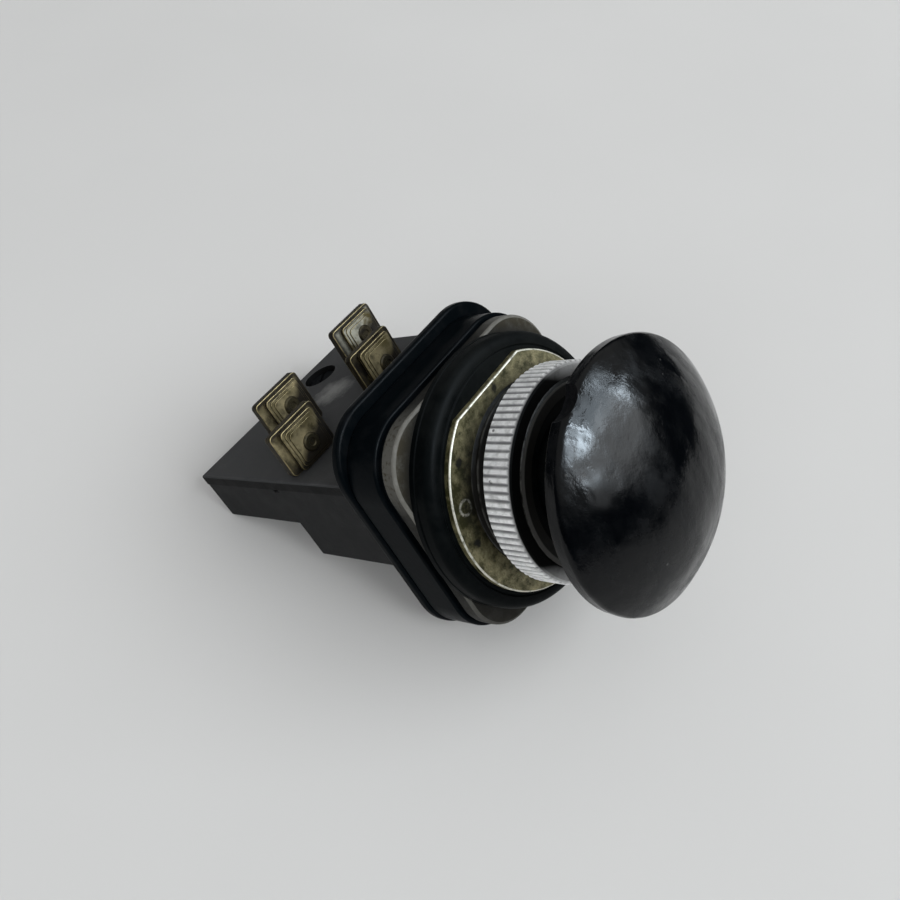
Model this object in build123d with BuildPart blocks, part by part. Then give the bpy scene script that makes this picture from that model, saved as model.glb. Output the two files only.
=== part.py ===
from build123d import *
import math
import os

# Mushroom-head pushbutton for a panel, with its two-pole contact block.
# Sizes are in millimetres. The push axis is Y, and -Y points out of the panel towards the hand.
# +Z points to the wire terminals. The origin is on the push axis, at the front face of the
# square flange that seats behind the panel.

# Fits
slip_gap = 0.15            # round pieces slid over one another
running_gap = 0.3          # round pieces that slide in use
rest_gap = 0.05            # faces of moving pieces that rest on one another
thread_gap = 0.05          # screw shanks in their threaded holes

# Push travel
travel = 5.0

# Square flange and threaded bushing, one casting
flange_side = 41.7
flange_corner = 9.4
flange_thickness = 2.6
flange_edge = 0.5
thread_diameter = 29.8
bushing_proud = 0.15       # bushing end beyond the ring nut
bushing_bore = 25.2
guide_wall = 2.2           # wall at the back of the bore that guides the plunger

# Rubber gasket
gasket_diameter = 45.0
gasket_thickness = 4.4
gasket_edge = 1.7
gasket_groove = 0.45       # fine groove round its front face
gasket_groove_inset = 2.3  # groove to the gasket's edge

# Thrust washer, with one flat towards the terminals
washer_width = 4.45        # hole to the round edge
washer_thickness = 1.1
washer_flat_depth = 1.95   # cut off its edge
washer_edge = 0.25

# Serrated ring nut
nut_wall = 2.4             # thread to the outside
nut_width = 5.2
nut_standoff = 4.35        # bare thread between the washer and the nut
nut_chamfer = 0.6
nut_rear_chamfer = 0.3
nut_teeth = 90
nut_groove = 0.32          # radius of the round serrations
nut_groove_depth = 0.28

# Mushroom cap
cap_diameter = 41.2
cap_taper = 0.25           # rim inside the crease
cap_gap = 8.9              # ring nut to the cap's rim
cap_band = 2.3             # rim to the crease
cap_crease_edge = 0.7      # rounding of the crease
dome_height = 8.0
cap_wall = 1.9             # at the rim
cap_roof = 0.8             # hollow's depth beyond the crease towards the hand
cap_roof_margin = 3.9      # hollow's edge inside the cap's outline
boss_diameter = 15.0
boss_overhang = 1.0        # boss beyond the rim
chip_angle = 110.0         # broken place in the rim, from +X towards +Z
chip_length = 7.0
chip_depth = 1.5

# Plunger
stem_diameter = 12.0
stud_diameter = 6.0
stud_length = 5.4
stud_room = 0.3            # hole beyond the stud's end
foot_diameter = 19.6
foot_thickness = 2.0
foot_gap = 0.2             # foot to the guide wall, at rest
foot_margin = 0.4          # foot to the contact block, pressed
groove_depth = 0.9

# Seal, clip and return spring inside the bushing
seal_recess = 0.8
seal_thickness = 2.8
seal_groove = 1.2
clip_gap = 0.8             # seal to the clip
clip_thickness = 0.8
clip_diameter = 17.2
clip_mouth = 9.4
spring_washer_room = 0.8   # washer to the bore
spring_washer_thickness = 0.8
return_spring_diameter = 18.9
return_spring_wire = 0.9
return_spring_turns = 3.5

# Square rear body
body_side = 43.0
body_corner = 10.0
body_edge = 0.9
foot_room = 0.8            # pocket round the plunger's foot
step_depth = 0.9           # shallow step along the front edge on the -X side
step_top = 7.6
step_bottom = -12.0

# Contact block housing: a square lip in front and a stepped box behind it
lip_side = 45.0
lip_corner = 10.0
lip_thickness = 2.0
lip_edge = 0.6
lip_shift_x = 0.6
lip_shift_z = 1.0
block_width = 42.2
block_front_length = 20.8
block_rear_length = 22.8
block_front_bottom = -3.2
block_edge = 0.4
side_wall = 1.8
front_wall = 2.0
floor_wall = 1.7
cavity_floor_room = 0.25   # under the carrier and its spring
cavity_head_room = 0.35    # above them, up to the cover's seam
pry_notch_place = 20.5     # behind the lip
pry_notch_width = 1.6
pry_notch_depth = 0.7

# Cover of the contact block and its sunk screw
cover_thickness = 2.1
cover_screw_x = 9.4
cover_screw_inset = 6.0    # from the block's rear face
cover_screw_diameter = 2.6
cover_screw_head = 5.8
cover_screw_head_height = 0.8
cover_screw_length = 6.0
cover_sink_diameter = 7.0
cover_sink_depth = 1.5

# Wire terminals: normally closed pair in front, normally open pair behind
pole_shift = -0.8
pole_stagger = 6.2
terminal_width = 10.6
terminal_thickness = 1.6
terminal_corner = 0.8
tail_width = 5.6
tail_room = 0.65           # carrier to the nearest tail
tail_clearance = 0.4       # tail to the cavity's floor
slot_gap = 0.15
nc_place = 13.4            # behind the lip
clamp_lift = 0.2           # front clamps above the cover
nc_height = 8.4
no_screw_height = 6.4      # above the cover
no_height = 10.2
clamp_width = 7.8
clamp_drop = 3.3           # screw to the clamp's lower edge
clamp_margin = 0.3         # clamp below the terminal's top
clamp_thickness = 0.8
clamp_gap = 0.5            # clamp to the terminal
clamp_pad = 0.5            # raised middle of the clamp
clamp_border = 1.0         # round the raised middle
terminal_screw_diameter = 3.2
terminal_screw_head = 6.2
terminal_screw_head_height = 1.9
terminal_screw_end = 0.4   # beyond the clamp
screw_slot = 0.8
screw_slot_depth = 0.8

# Contacts and their carrier
contact_height = 9.4
tip_diameter = 3.2
tip_thickness = 0.5
open_gap = 0.3             # normally open tips to the bridge, pressed
bridge_thickness = 0.8
bridge_height = 4.0
bridge_end = 2.4           # bar beyond the outer tips
carrier_width = 6.8
carrier_height = 5.8
carrier_arm = 10.0
carrier_window = 0.1       # window above and below the bridge
carrier_back = 1.0
carrier_rest = 0.3         # arm to the housing's front wall, at rest
nose_diameter = 4.4
nose_height = 6.8
nose_gap = 0.1             # nose to the plunger's foot
arm_room = 0.4             # trough round the arm
tail_diameter = 4.0
tail_engaged = 1.6
socket_room = 0.6
contact_spring_length = 2.8
contact_spring_diameter = 3.4
contact_spring_wire = 0.35
contact_spring_turns = 3.5
carrier_spring_length = 11.0
carrier_spring_diameter = 5.9
carrier_spring_wire = 0.5
carrier_spring_turns = 7.0

# Long screws that hold the block, and short screws low on the lip
block_screw_x = 15.5
block_screw_z = 0.7
block_screw_diameter = 3.4
block_screw_head = 6.0
block_screw_head_height = 2.0
base_screw_place = 14.5
base_screw_diameter = 3.0
base_screw_head = 5.6
base_screw_head_height = 1.8
screw_hole_gap = 0.3
screw_bottom = 0.4         # flange left in front of the screw ends

# Places along the push axis, worked out from the front backwards
gasket_front = -gasket_thickness
washer_front = gasket_front - washer_thickness
nut_rear = washer_front - nut_standoff
nut_front = nut_rear - nut_width
bushing_front = nut_front - bushing_proud
cap_rim = nut_front - cap_gap
cap_crease = cap_rim - cap_band
cap_apex = cap_crease - dome_height
boss_rear = cap_rim + boss_overhang
stud_front = boss_rear - stud_length
guide_front = flange_thickness - guide_wall
seal_front = bushing_front + seal_recess
seal_rear = seal_front + seal_thickness
clip_front = seal_rear + clip_gap
clip_rear = clip_front + clip_thickness
spring_front = clip_rear + spring_washer_thickness
foot_front = flange_thickness + foot_gap
foot_rear = foot_front + foot_thickness
body_rear = foot_rear + travel + foot_margin
lip_rear = body_rear + lip_thickness
block_step = lip_rear + block_front_length
block_rear = block_step + block_rear_length
cavity_front = lip_rear + front_wall
nc_front = lip_rear + nc_place
nc_rear = nc_front + terminal_thickness
bridge_front = nc_rear + 2 * tip_thickness + rest_gap
bridge_rear = bridge_front + bridge_thickness
no_front = bridge_rear + 2 * tip_thickness + travel + open_gap
no_rear = no_front + terminal_thickness
carrier_front = cavity_front + carrier_rest
window_front = bridge_front - rest_gap
window_rear = bridge_rear + contact_spring_length
carrier_rear = window_rear + carrier_back
socket_front = carrier_rear + carrier_spring_length
tail_end = socket_front + tail_engaged
socket_end = tail_end + travel + socket_room

# Radii and heights worked out
thread_radius = thread_diameter / 2
bore_radius = bushing_bore / 2
stem_radius = stem_diameter / 2
guide_radius = stem_radius + running_gap
cap_radius = cap_diameter / 2
cap_rim_radius = cap_radius - cap_taper
nut_radius = thread_radius + nut_wall
washer_radius = thread_radius + slip_gap + washer_width
cavity_half_height = max(carrier_height, carrier_spring_diameter) / 2
cover_seat = contact_height + cavity_half_height + cavity_head_room
cover_top = cover_seat + cover_thickness
cavity_floor = contact_height - cavity_half_height - cavity_floor_room
block_rear_bottom = cavity_floor - floor_wall
cavity_half = block_width / 2 - side_wall
block_length = block_rear - lip_rear
carrier_bottom = contact_height - carrier_height / 2
carrier_top = contact_height + carrier_height / 2
nose_bottom = nose_height - nose_diameter / 2
cover_screw_y = block_rear - cover_screw_inset
nc_screw_height = clamp_drop + clamp_lift
pole_pitch = carrier_width + tail_width + pole_stagger + 2 * (tail_room - pole_shift)

# Each terminal: its name, place across the block, front face, rear face, screw height, top and
# the face that carries its contact tip
terminals = []
for side, pole in (("left", -0.5), ("right", 0.5)):
    middle = pole * pole_pitch + pole_shift
    terminals.append(("nc_" + side, middle - pole_stagger / 2, nc_front, nc_rear,
                      cover_top + nc_screw_height, cover_top + nc_height, nc_rear))
    terminals.append(("no_" + side, middle + pole_stagger / 2, no_front, no_rear,
                      cover_top + no_screw_height, cover_top + no_height, no_front - tip_thickness))

os.makedirs("parts", exist_ok=True)


def ring(inner, outer, front, rear):
    """Half section of a ring, between two radii and two places along the push axis."""
    with Locations(((inner + outer) / 2, (front + rear) / 2)):
        Rectangle(outer - inner, rear - front)


def finish(piece, name):
    """Labels a finished piece and writes it to its own file."""
    piece.label = name
    export_step(piece, "parts/" + name + ".step")


# Flange and bushing
with BuildPart() as threaded_bushing:
    with BuildSketch(Plane.XZ.offset(-flange_thickness)):
        RectangleRounded(flange_side, flange_side, flange_corner)
    extrude(amount=flange_thickness)
    chamfer(threaded_bushing.edges().group_by(Axis.Y)[0], flange_edge)
    with BuildSketch(Plane.XY):
        ring(0, thread_radius, bushing_front, flange_thickness)
    revolve(axis=Axis.Y)
    with BuildSketch(Plane.XY):
        ring(0, bore_radius, bushing_front, guide_front)
        ring(0, guide_radius, guide_front, flange_thickness)
    revolve(axis=Axis.Y, mode=Mode.SUBTRACT)
    with BuildSketch(Plane.XZ.offset(-flange_thickness)):
        with Locations((0, block_screw_z)):
            with GridLocations(2 * block_screw_x, 0, 2, 1):
                Circle(block_screw_diameter / 2 + thread_gap)
        with Locations((0, -base_screw_place)):
            with GridLocations(2 * base_screw_place, 0, 2, 1):
                Circle(base_screw_diameter / 2 + thread_gap)
    extrude(amount=flange_thickness - screw_bottom, mode=Mode.SUBTRACT)
finish(threaded_bushing.part, "threaded_bushing")

# Gasket, with a rounded front edge and a fine groove round its face
with BuildPart() as panel_gasket:
    with BuildSketch(Plane.XY) as section:
        ring(thread_radius + slip_gap, gasket_diameter / 2, gasket_front, 0)
        fillet(section.vertices().group_by(Axis.Y)[0].sort_by(Axis.X)[-1], gasket_edge)
        with Locations((gasket_diameter / 2 - gasket_groove_inset, gasket_front)):
            Circle(gasket_groove / 2, mode=Mode.SUBTRACT)
    revolve(axis=Axis.Y)
finish(panel_gasket.part, "panel_gasket")

# Thrust washer
with BuildPart() as thrust_washer:
    with BuildSketch(Plane.XZ.offset(-gasket_front)) as outline:
        Circle(washer_radius)
        with Locations((0, washer_radius - washer_flat_depth)):
            Rectangle(2 * washer_radius, washer_flat_depth, align=(Align.CENTER, Align.MIN),
                      mode=Mode.SUBTRACT)
    extrude(amount=washer_thickness)
    chamfer(thrust_washer.edges().group_by(Axis.Y)[0], washer_edge)
    with BuildSketch(Plane.XZ.offset(-gasket_front)):
        Circle(thread_radius + slip_gap)
    extrude(amount=washer_thickness, mode=Mode.SUBTRACT)
finish(thrust_washer.part, "thrust_washer")

# Ring nut, turned and then serrated
with BuildPart() as ring_nut:
    with BuildSketch(Plane.XY) as section:
        ring(thread_radius + slip_gap, nut_radius, nut_front, nut_rear)
        chamfer(section.vertices().group_by(Axis.Y)[0].sort_by(Axis.X)[-1], nut_chamfer)
        chamfer(section.vertices().group_by(Axis.Y)[-1].sort_by(Axis.X)[-1], nut_rear_chamfer)
    revolve(axis=Axis.Y)
    with BuildSketch(Plane.XZ.offset(-nut_rear)):
        with PolarLocations(nut_radius + nut_groove - nut_groove_depth, nut_teeth):
            Circle(nut_groove)
    extrude(amount=nut_width, mode=Mode.SUBTRACT)
finish(ring_nut.part, "ring_nut")

# Mushroom cap: a domed shell with a boss for the plunger and a chip broken out of its rim
dome_radius = (cap_radius ** 2 + dome_height ** 2) / (2 * dome_height)
dome_angle = math.degrees(math.asin(cap_radius / dome_radius))
chip_radius = (chip_length ** 2 / 4 + chip_depth ** 2) / (2 * chip_depth)
chip_reach = cap_radius + chip_radius - chip_depth
chip_x = chip_reach * math.cos(math.radians(chip_angle))
chip_z = chip_reach * math.sin(math.radians(chip_angle))
roof_front = cap_crease - cap_roof
with BuildPart() as mushroom_cap:
    with BuildSketch(Plane.XY) as section:
        with BuildLine():
            CenterArc((0, cap_apex + dome_radius), dome_radius, -90, dome_angle)
            Polyline(
                (0, cap_apex),
                (0, boss_rear),
                (boss_diameter / 2, boss_rear),
                (boss_diameter / 2, roof_front),
                (cap_radius - cap_roof_margin, roof_front),
                (cap_rim_radius - cap_wall, cap_rim),
                (cap_rim_radius, cap_rim),
                (cap_radius, cap_crease),
            )
        make_face()
        fillet(section.vertices().sort_by(Axis.X)[-1], cap_crease_edge)
    revolve(axis=Axis.Y)
    with BuildSketch(Plane.XY):
        ring(0, stud_diameter / 2 + thread_gap, stud_front - stud_room, boss_rear)
    revolve(axis=Axis.Y, mode=Mode.SUBTRACT)
    with Locations((chip_x, cap_rim, chip_z)):
        Sphere(chip_radius, mode=Mode.SUBTRACT)
finish(mushroom_cap.part, "mushroom_cap")

# Plunger, with a foot behind the guide wall and a groove for its clip
with BuildPart() as plunger:
    with BuildSketch(Plane.XY):
        ring(0, stud_diameter / 2, stud_front, boss_rear)
        ring(0, stem_radius, boss_rear, foot_front)
        ring(0, foot_diameter / 2, foot_front, foot_rear)
    revolve(axis=Axis.Y)
    with BuildSketch(Plane.XY):
        ring(stem_radius - groove_depth, 2 * stem_radius, clip_front - rest_gap, clip_rear + rest_gap)
    revolve(axis=Axis.Y, mode=Mode.SUBTRACT)
finish(plunger.part, "plunger")

# Rubber seal in the mouth of the bushing
with BuildPart() as shaft_seal:
    with BuildSketch(Plane.XY) as section:
        ring(guide_radius, bore_radius - rest_gap, seal_front, seal_rear)
        with Locations(((guide_radius + bore_radius) / 2, seal_front)):
            Circle(seal_groove, mode=Mode.SUBTRACT)
    revolve(axis=Axis.Y)
finish(shaft_seal.part, "shaft_seal")

# Open clip in the plunger's groove
with BuildPart() as retaining_clip:
    with BuildSketch(Plane.XZ.offset(-clip_rear)):
        Circle(clip_diameter / 2)
        Circle(stem_radius - groove_depth + rest_gap, mode=Mode.SUBTRACT)
        Rectangle(clip_mouth, clip_diameter, align=(Align.CENTER, Align.MAX), mode=Mode.SUBTRACT)
    extrude(amount=clip_thickness)
finish(retaining_clip.part, "retaining_clip")

# Washer between the clip and the return spring
with BuildPart() as spring_washer:
    with BuildSketch(Plane.XY):
        ring(stem_radius + slip_gap, bore_radius - spring_washer_room, clip_rear, spring_front)
    revolve(axis=Axis.Y)
finish(spring_washer.part, "spring_washer")

# Coil springs: name, height of the axis, outer diameter, wire, turns, front end and rear end
springs = (
    ("return_spring", 0, return_spring_diameter, return_spring_wire, return_spring_turns,
     spring_front, guide_front),
    ("contact_spring", contact_height, contact_spring_diameter, contact_spring_wire,
     contact_spring_turns, bridge_rear, window_rear),
    ("carrier_spring", contact_height, carrier_spring_diameter, carrier_spring_wire,
     carrier_spring_turns, carrier_rear, socket_front),
)
for name, height, diameter, wire, turns, front, rear in springs:
    rise = rear - front - wire - 2 * rest_gap
    with BuildPart() as spring:
        with BuildLine() as coil:
            Helix(
                pitch=rise / turns,
                height=rise,
                radius=(diameter - wire) / 2,
                center=(0, front + wire / 2 + rest_gap, height),
                direction=(0, 1, 0),
            )
        with BuildSketch(Plane(coil.line @ 0, z_dir=coil.line % 0)):
            Circle(wire / 2)
        sweep(is_frenet=True)
    finish(spring.part, name)

# Square rear body between the flange and the contact block
with BuildPart() as rear_body:
    with BuildSketch(Plane.XZ.offset(-body_rear)):
        RectangleRounded(body_side, body_side, body_corner)
    extrude(amount=body_rear - flange_thickness)
    fillet(rear_body.edges().group_by(Axis.Y)[0], body_edge)
    fillet(rear_body.edges().group_by(Axis.Y)[-1], body_edge)
    with BuildSketch(Plane.XZ.offset(-body_rear)):
        Circle(foot_diameter / 2 + foot_room)
        with Locations((0, block_screw_z)):
            with GridLocations(2 * block_screw_x, 0, 2, 1):
                Circle(block_screw_diameter / 2 + screw_hole_gap)
        with Locations((0, -base_screw_place)):
            with GridLocations(2 * base_screw_place, 0, 2, 1):
                Circle(base_screw_diameter / 2 + screw_hole_gap)
    extrude(amount=body_rear - flange_thickness, mode=Mode.SUBTRACT)
    with BuildSketch(Plane.XZ.offset(-flange_thickness)):
        with Locations((-body_side / 2, (step_top + step_bottom) / 2)):
            Rectangle(2 * (body_edge + step_depth), step_top - step_bottom)
    extrude(amount=-step_depth, mode=Mode.SUBTRACT)
finish(rear_body.part, "rear_body")

# Housing of the contact block
with BuildPart() as block_housing:
    with BuildSketch(Plane.XZ.offset(-lip_rear)):
        with Locations((lip_shift_x, lip_shift_z)):
            RectangleRounded(lip_side, lip_side, lip_corner)
    extrude(amount=lip_thickness)
    fillet(block_housing.edges().group_by(Axis.Y)[0], lip_edge)
    fillet(block_housing.edges().group_by(Axis.Y)[-1], lip_edge)
    with BuildSketch(Plane.YZ):
        with BuildLine():
            Polyline(
                (lip_rear, block_front_bottom),
                (block_step, block_front_bottom),
                (block_step, block_rear_bottom),
                (block_rear, block_rear_bottom),
                (block_rear, cover_seat),
                (lip_rear, cover_seat),
                close=True,
            )
        make_face()
    extrude(amount=block_width / 2, both=True)
    # Cavity for the contacts, with a trough under it for the carrier's arm
    with BuildSketch(Plane.XY.offset(cover_seat)):
        with Locations((0, (cavity_front + socket_front) / 2)):
            Rectangle(2 * cavity_half, socket_front - cavity_front)
    extrude(amount=cavity_floor - cover_seat, mode=Mode.SUBTRACT)
    trough_length = carrier_rest + carrier_arm + travel + arm_room
    with BuildSketch(Plane.XY.offset(cover_seat)):
        with Locations((0, cavity_front + trough_length / 2)):
            Rectangle(carrier_width + 2 * arm_room, trough_length)
    extrude(amount=nose_bottom - arm_room - cover_seat, mode=Mode.SUBTRACT)
    # Guide hole for the carrier's nose, and the socket for its tail
    with BuildSketch(Plane.XZ.offset(-cavity_front)):
        with Locations((0, nose_height)):
            Circle(nose_diameter / 2 + running_gap)
    extrude(amount=cavity_front - body_rear, mode=Mode.SUBTRACT)
    with BuildSketch(Plane.XZ.offset(-socket_end)):
        with Locations((0, contact_height)):
            Circle(tail_diameter / 2 + running_gap)
    extrude(amount=socket_end - socket_front, mode=Mode.SUBTRACT)
    # Screw holes
    with BuildSketch(Plane.XZ.offset(-block_step)):
        with Locations((0, block_screw_z)):
            with GridLocations(2 * block_screw_x, 0, 2, 1):
                Circle(block_screw_diameter / 2 + screw_hole_gap)
    extrude(amount=block_step - body_rear, mode=Mode.SUBTRACT)
    with BuildSketch(Plane.XZ.offset(-lip_rear)):
        with Locations((0, -base_screw_place)):
            with GridLocations(2 * base_screw_place, 0, 2, 1):
                Circle(base_screw_diameter / 2 + screw_hole_gap)
    extrude(amount=lip_thickness, mode=Mode.SUBTRACT)
    with BuildSketch(Plane.XY.offset(cover_seat)):
        with Locations((cover_screw_x, cover_screw_y)):
            Circle(cover_screw_diameter / 2 + thread_gap)
    extrude(amount=-cover_screw_length, mode=Mode.SUBTRACT)
    # Small pry notch under the cover
    with BuildSketch(Plane.XY.offset(cover_seat)):
        with Locations((-block_width / 2, lip_rear + pry_notch_place)):
            Rectangle(2 * pry_notch_depth, pry_notch_width)
    extrude(amount=-pry_notch_depth, mode=Mode.SUBTRACT)
finish(block_housing.part, "block_housing")

# Cover of the contact block, slotted for the terminals' tails
with BuildPart() as block_cover:
    with BuildSketch(Plane.XY.offset(cover_seat)):
        with Locations((0, (lip_rear + block_rear) / 2)):
            Rectangle(block_width, block_length)
    extrude(amount=cover_thickness)
    chamfer(block_cover.edges().group_by(Axis.Z)[-1], block_edge)
    with BuildSketch(Plane.XY.offset(cover_top)):
        for name, across, front, rear, screw_height, top, tip_front in terminals:
            with Locations((across, (front + rear) / 2)):
                Rectangle(tail_width + 2 * slot_gap, terminal_thickness + 2 * slot_gap)
        with Locations((cover_screw_x, cover_screw_y)):
            Circle(cover_screw_diameter / 2 + slip_gap)
    extrude(amount=-cover_thickness, mode=Mode.SUBTRACT)
    with BuildSketch(Plane.XY.offset(cover_top)):
        with Locations((cover_screw_x, cover_screw_y)):
            Circle(cover_sink_diameter / 2)
    extrude(amount=-cover_sink_depth, mode=Mode.SUBTRACT)
finish(block_cover.part, "block_cover")

# Sunk screw of the cover
cover_screw_seat = cover_top - cover_sink_depth
with BuildPart() as cover_screw:
    with BuildSketch(Plane.XY.offset(cover_screw_seat)):
        with Locations((cover_screw_x, cover_screw_y)):
            Circle(cover_screw_head / 2)
    extrude(amount=cover_screw_head_height)
    with BuildSketch(Plane.XY.offset(cover_screw_seat)):
        with Locations((cover_screw_x, cover_screw_y)):
            Circle(cover_screw_diameter / 2)
    extrude(amount=cover_seat - cover_screw_length + rest_gap - cover_screw_seat)
    with BuildSketch(Plane.XY.offset(cover_screw_seat + cover_screw_head_height)):
        with Locations(Location((cover_screw_x, cover_screw_y), 35)):
            Rectangle(cover_screw_head, screw_slot)
    extrude(amount=-cover_screw_head_height / 2, mode=Mode.SUBTRACT)
finish(cover_screw.part, "cover_screw")

# The four terminals, each with its wire clamp, its screw and its silver contact tip
for name, across, front, rear, screw_height, top, tip_front in terminals:
    with BuildPart() as terminal:
        with BuildSketch(Plane.XZ.offset(-rear)) as blade:
            with Locations((across, (cover_top + top) / 2)):
                RectangleRounded(terminal_width, top - cover_top, terminal_corner)
            with Locations((across, cover_top + terminal_corner)):
                Rectangle(tail_width, cover_top + terminal_corner - cavity_floor - tail_clearance,
                          align=(Align.CENTER, Align.MAX))
            with Locations((across, screw_height)):
                Circle(terminal_screw_diameter / 2 + screw_hole_gap, mode=Mode.SUBTRACT)
        extrude(amount=terminal_thickness)
    finish(terminal.part, name + "_terminal")

    clamp_rear = front - clamp_gap
    clamp_front = clamp_rear - clamp_thickness - clamp_pad
    clamp_height = top - clamp_margin - screw_height + clamp_drop
    clamp_middle = screw_height - clamp_drop + clamp_height / 2
    pad_width = clamp_width - 2 * clamp_border
    pad_height = clamp_height - 2 * clamp_border
    with BuildPart() as clamp:
        with BuildSketch(Plane.XZ.offset(-clamp_rear)):
            with Locations((across, clamp_middle)):
                RectangleRounded(clamp_width, clamp_height, terminal_corner)
        extrude(amount=clamp_thickness)
        with BuildSketch(Plane.XZ.offset(-clamp_rear)):
            with Locations((across, clamp_middle)):
                RectangleRounded(pad_width, pad_height, terminal_corner)
        extrude(amount=clamp_thickness + clamp_pad)
        with BuildSketch(Plane.XZ.offset(-clamp_rear)):
            with Locations((across, screw_height)):
                Circle(terminal_screw_diameter / 2 + thread_gap)
        extrude(amount=clamp_thickness + clamp_pad, mode=Mode.SUBTRACT)
    finish(clamp.part, name + "_clamp")

    with BuildPart() as screw:
        with BuildSketch(Plane.XZ.offset(-rear)):
            with Locations((across, screw_height)):
                Circle(terminal_screw_head / 2)
        extrude(amount=-terminal_screw_head_height)
        with BuildSketch(Plane.XZ.offset(-rear)):
            with Locations((across, screw_height)):
                Circle(terminal_screw_diameter / 2)
        extrude(amount=rear - clamp_front + terminal_screw_end)
        with BuildSketch(Plane.XZ.offset(-rear - terminal_screw_head_height)):
            with Locations(Location((across, screw_height), 20)):
                Rectangle(terminal_screw_head, screw_slot)
        extrude(amount=screw_slot_depth, mode=Mode.SUBTRACT)
    finish(screw.part, name + "_screw")

    with BuildPart() as tip:
        with BuildSketch(Plane.XZ.offset(-tip_front - tip_thickness)):
            with Locations((across, contact_height)):
                Circle(tip_diameter / 2)
        extrude(amount=tip_thickness)
    finish(tip.part, name + "_tip")

# Contact bridge and its four tips
nc_across = [across for name, across, *rest in terminals if name.startswith("nc")]
no_across = [across for name, across, *rest in terminals if name.startswith("no")]
bridge_left = min(nc_across) - bridge_end
bridge_right = max(no_across) + bridge_end
with BuildPart() as bridge_contact:
    with BuildSketch(Plane.XZ.offset(-bridge_rear)):
        with Locations(((bridge_left + bridge_right) / 2, contact_height)):
            RectangleRounded(bridge_right - bridge_left, bridge_height, terminal_corner)
    extrude(amount=bridge_thickness)
finish(bridge_contact.part, "bridge_contact")

with BuildPart() as bridge_tips:
    with BuildSketch(Plane.XZ.offset(-bridge_front)):
        with Locations(*[(across, contact_height) for across in nc_across]):
            Circle(tip_diameter / 2)
    extrude(amount=tip_thickness)
    with BuildSketch(Plane.XZ.offset(-bridge_rear - tip_thickness)):
        with Locations(*[(across, contact_height) for across in no_across]):
            Circle(tip_diameter / 2)
    extrude(amount=tip_thickness)
finish(bridge_tips.part, "bridge_tips")

# Contact carrier: a nose that the plunger pushes, an arm, a cage round the bridge and a tail
with BuildPart() as contact_carrier:
    with BuildSketch(Plane.YZ):
        with BuildLine():
            Polyline(
                (carrier_front, nose_bottom),
                (carrier_front + carrier_arm, nose_bottom),
                (carrier_front + carrier_arm, carrier_bottom),
                (carrier_rear, carrier_bottom),
                (carrier_rear, carrier_top),
                (carrier_front, carrier_top),
                close=True,
            )
        make_face()
        with Locations(((window_front + window_rear) / 2, contact_height)):
            Rectangle(window_rear - window_front, bridge_height + 2 * carrier_window, mode=Mode.SUBTRACT)
    extrude(amount=carrier_width / 2, both=True)
    with BuildSketch(Plane.XZ.offset(-carrier_front)):
        with Locations((0, nose_height)):
            Circle(nose_diameter / 2)
    extrude(amount=carrier_front - foot_rear - nose_gap)
    with BuildSketch(Plane.XZ.offset(-tail_end)):
        with Locations((0, contact_height)):
            Circle(tail_diameter / 2)
    extrude(amount=tail_end - carrier_rear)
finish(contact_carrier.part, "contact_carrier")

# Screw groups: name, places, seat of the heads, shank, head and head height
screw_groups = (
    ("block_screws", (block_screw_x, block_screw_z), block_step, block_screw_diameter,
     block_screw_head, block_screw_head_height),
    ("base_screws", (base_screw_place, -base_screw_place), lip_rear, base_screw_diameter,
     base_screw_head, base_screw_head_height),
)
for name, (across, height), seat, shank, head, head_height in screw_groups:
    with BuildPart() as screws:
        with BuildSketch(Plane.XZ.offset(-seat)):
            with Locations((-across, height), (across, height)):
                Circle(head / 2)
        extrude(amount=-head_height)
        with BuildSketch(Plane.XZ.offset(-seat)):
            with Locations((-across, height), (across, height)):
                Circle(shank / 2)
        extrude(amount=seat - screw_bottom - rest_gap)
        with BuildSketch(Plane.XZ.offset(-seat - head_height)):
            with Locations((-across, height), (across, height)):
                Rectangle(screw_slot, head)
        extrude(amount=screw_slot_depth, mode=Mode.SUBTRACT)
    finish(screws.part, name)
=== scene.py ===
"""Mushroom-head pushbutton with its contact block: the looks of every piece, built round its solids."""

import math

import bmesh
import bpy
from bpy.props import FloatProperty, FloatVectorProperty, IntProperty, PointerProperty
from bpy.types import Operator, Panel, PropertyGroup
from mathutils import Matrix, Vector, noise


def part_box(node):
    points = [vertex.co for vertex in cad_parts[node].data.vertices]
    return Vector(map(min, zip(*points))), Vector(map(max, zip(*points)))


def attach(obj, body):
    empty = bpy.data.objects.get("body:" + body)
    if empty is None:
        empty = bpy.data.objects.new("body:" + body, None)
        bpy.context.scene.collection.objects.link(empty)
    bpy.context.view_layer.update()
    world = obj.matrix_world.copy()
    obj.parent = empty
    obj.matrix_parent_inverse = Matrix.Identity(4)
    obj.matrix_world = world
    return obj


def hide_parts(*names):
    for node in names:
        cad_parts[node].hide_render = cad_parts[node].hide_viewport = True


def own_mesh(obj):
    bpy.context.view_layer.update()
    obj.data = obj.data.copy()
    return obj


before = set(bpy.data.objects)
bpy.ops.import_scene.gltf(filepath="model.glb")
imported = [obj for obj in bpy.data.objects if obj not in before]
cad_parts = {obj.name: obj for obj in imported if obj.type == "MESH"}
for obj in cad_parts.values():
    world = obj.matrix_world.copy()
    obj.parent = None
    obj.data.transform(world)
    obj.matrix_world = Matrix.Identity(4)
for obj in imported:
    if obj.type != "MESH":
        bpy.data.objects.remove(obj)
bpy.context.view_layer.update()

bl_info = {
    "name": "Mushroom pushbutton",
    "version": (1, 0, 0),
    "blender": (4, 5, 0),
    "location": "View3D > Sidebar > Pushbutton",
    "description": "Dresses the solids of a panel pushbutton and its contact block",
    "category": "Add Mesh",
}

# One millimetre, in metres
MM = 0.001
# The push axis, from the cap towards the contact block
AXIS = Vector((0, 1, 0))
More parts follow.
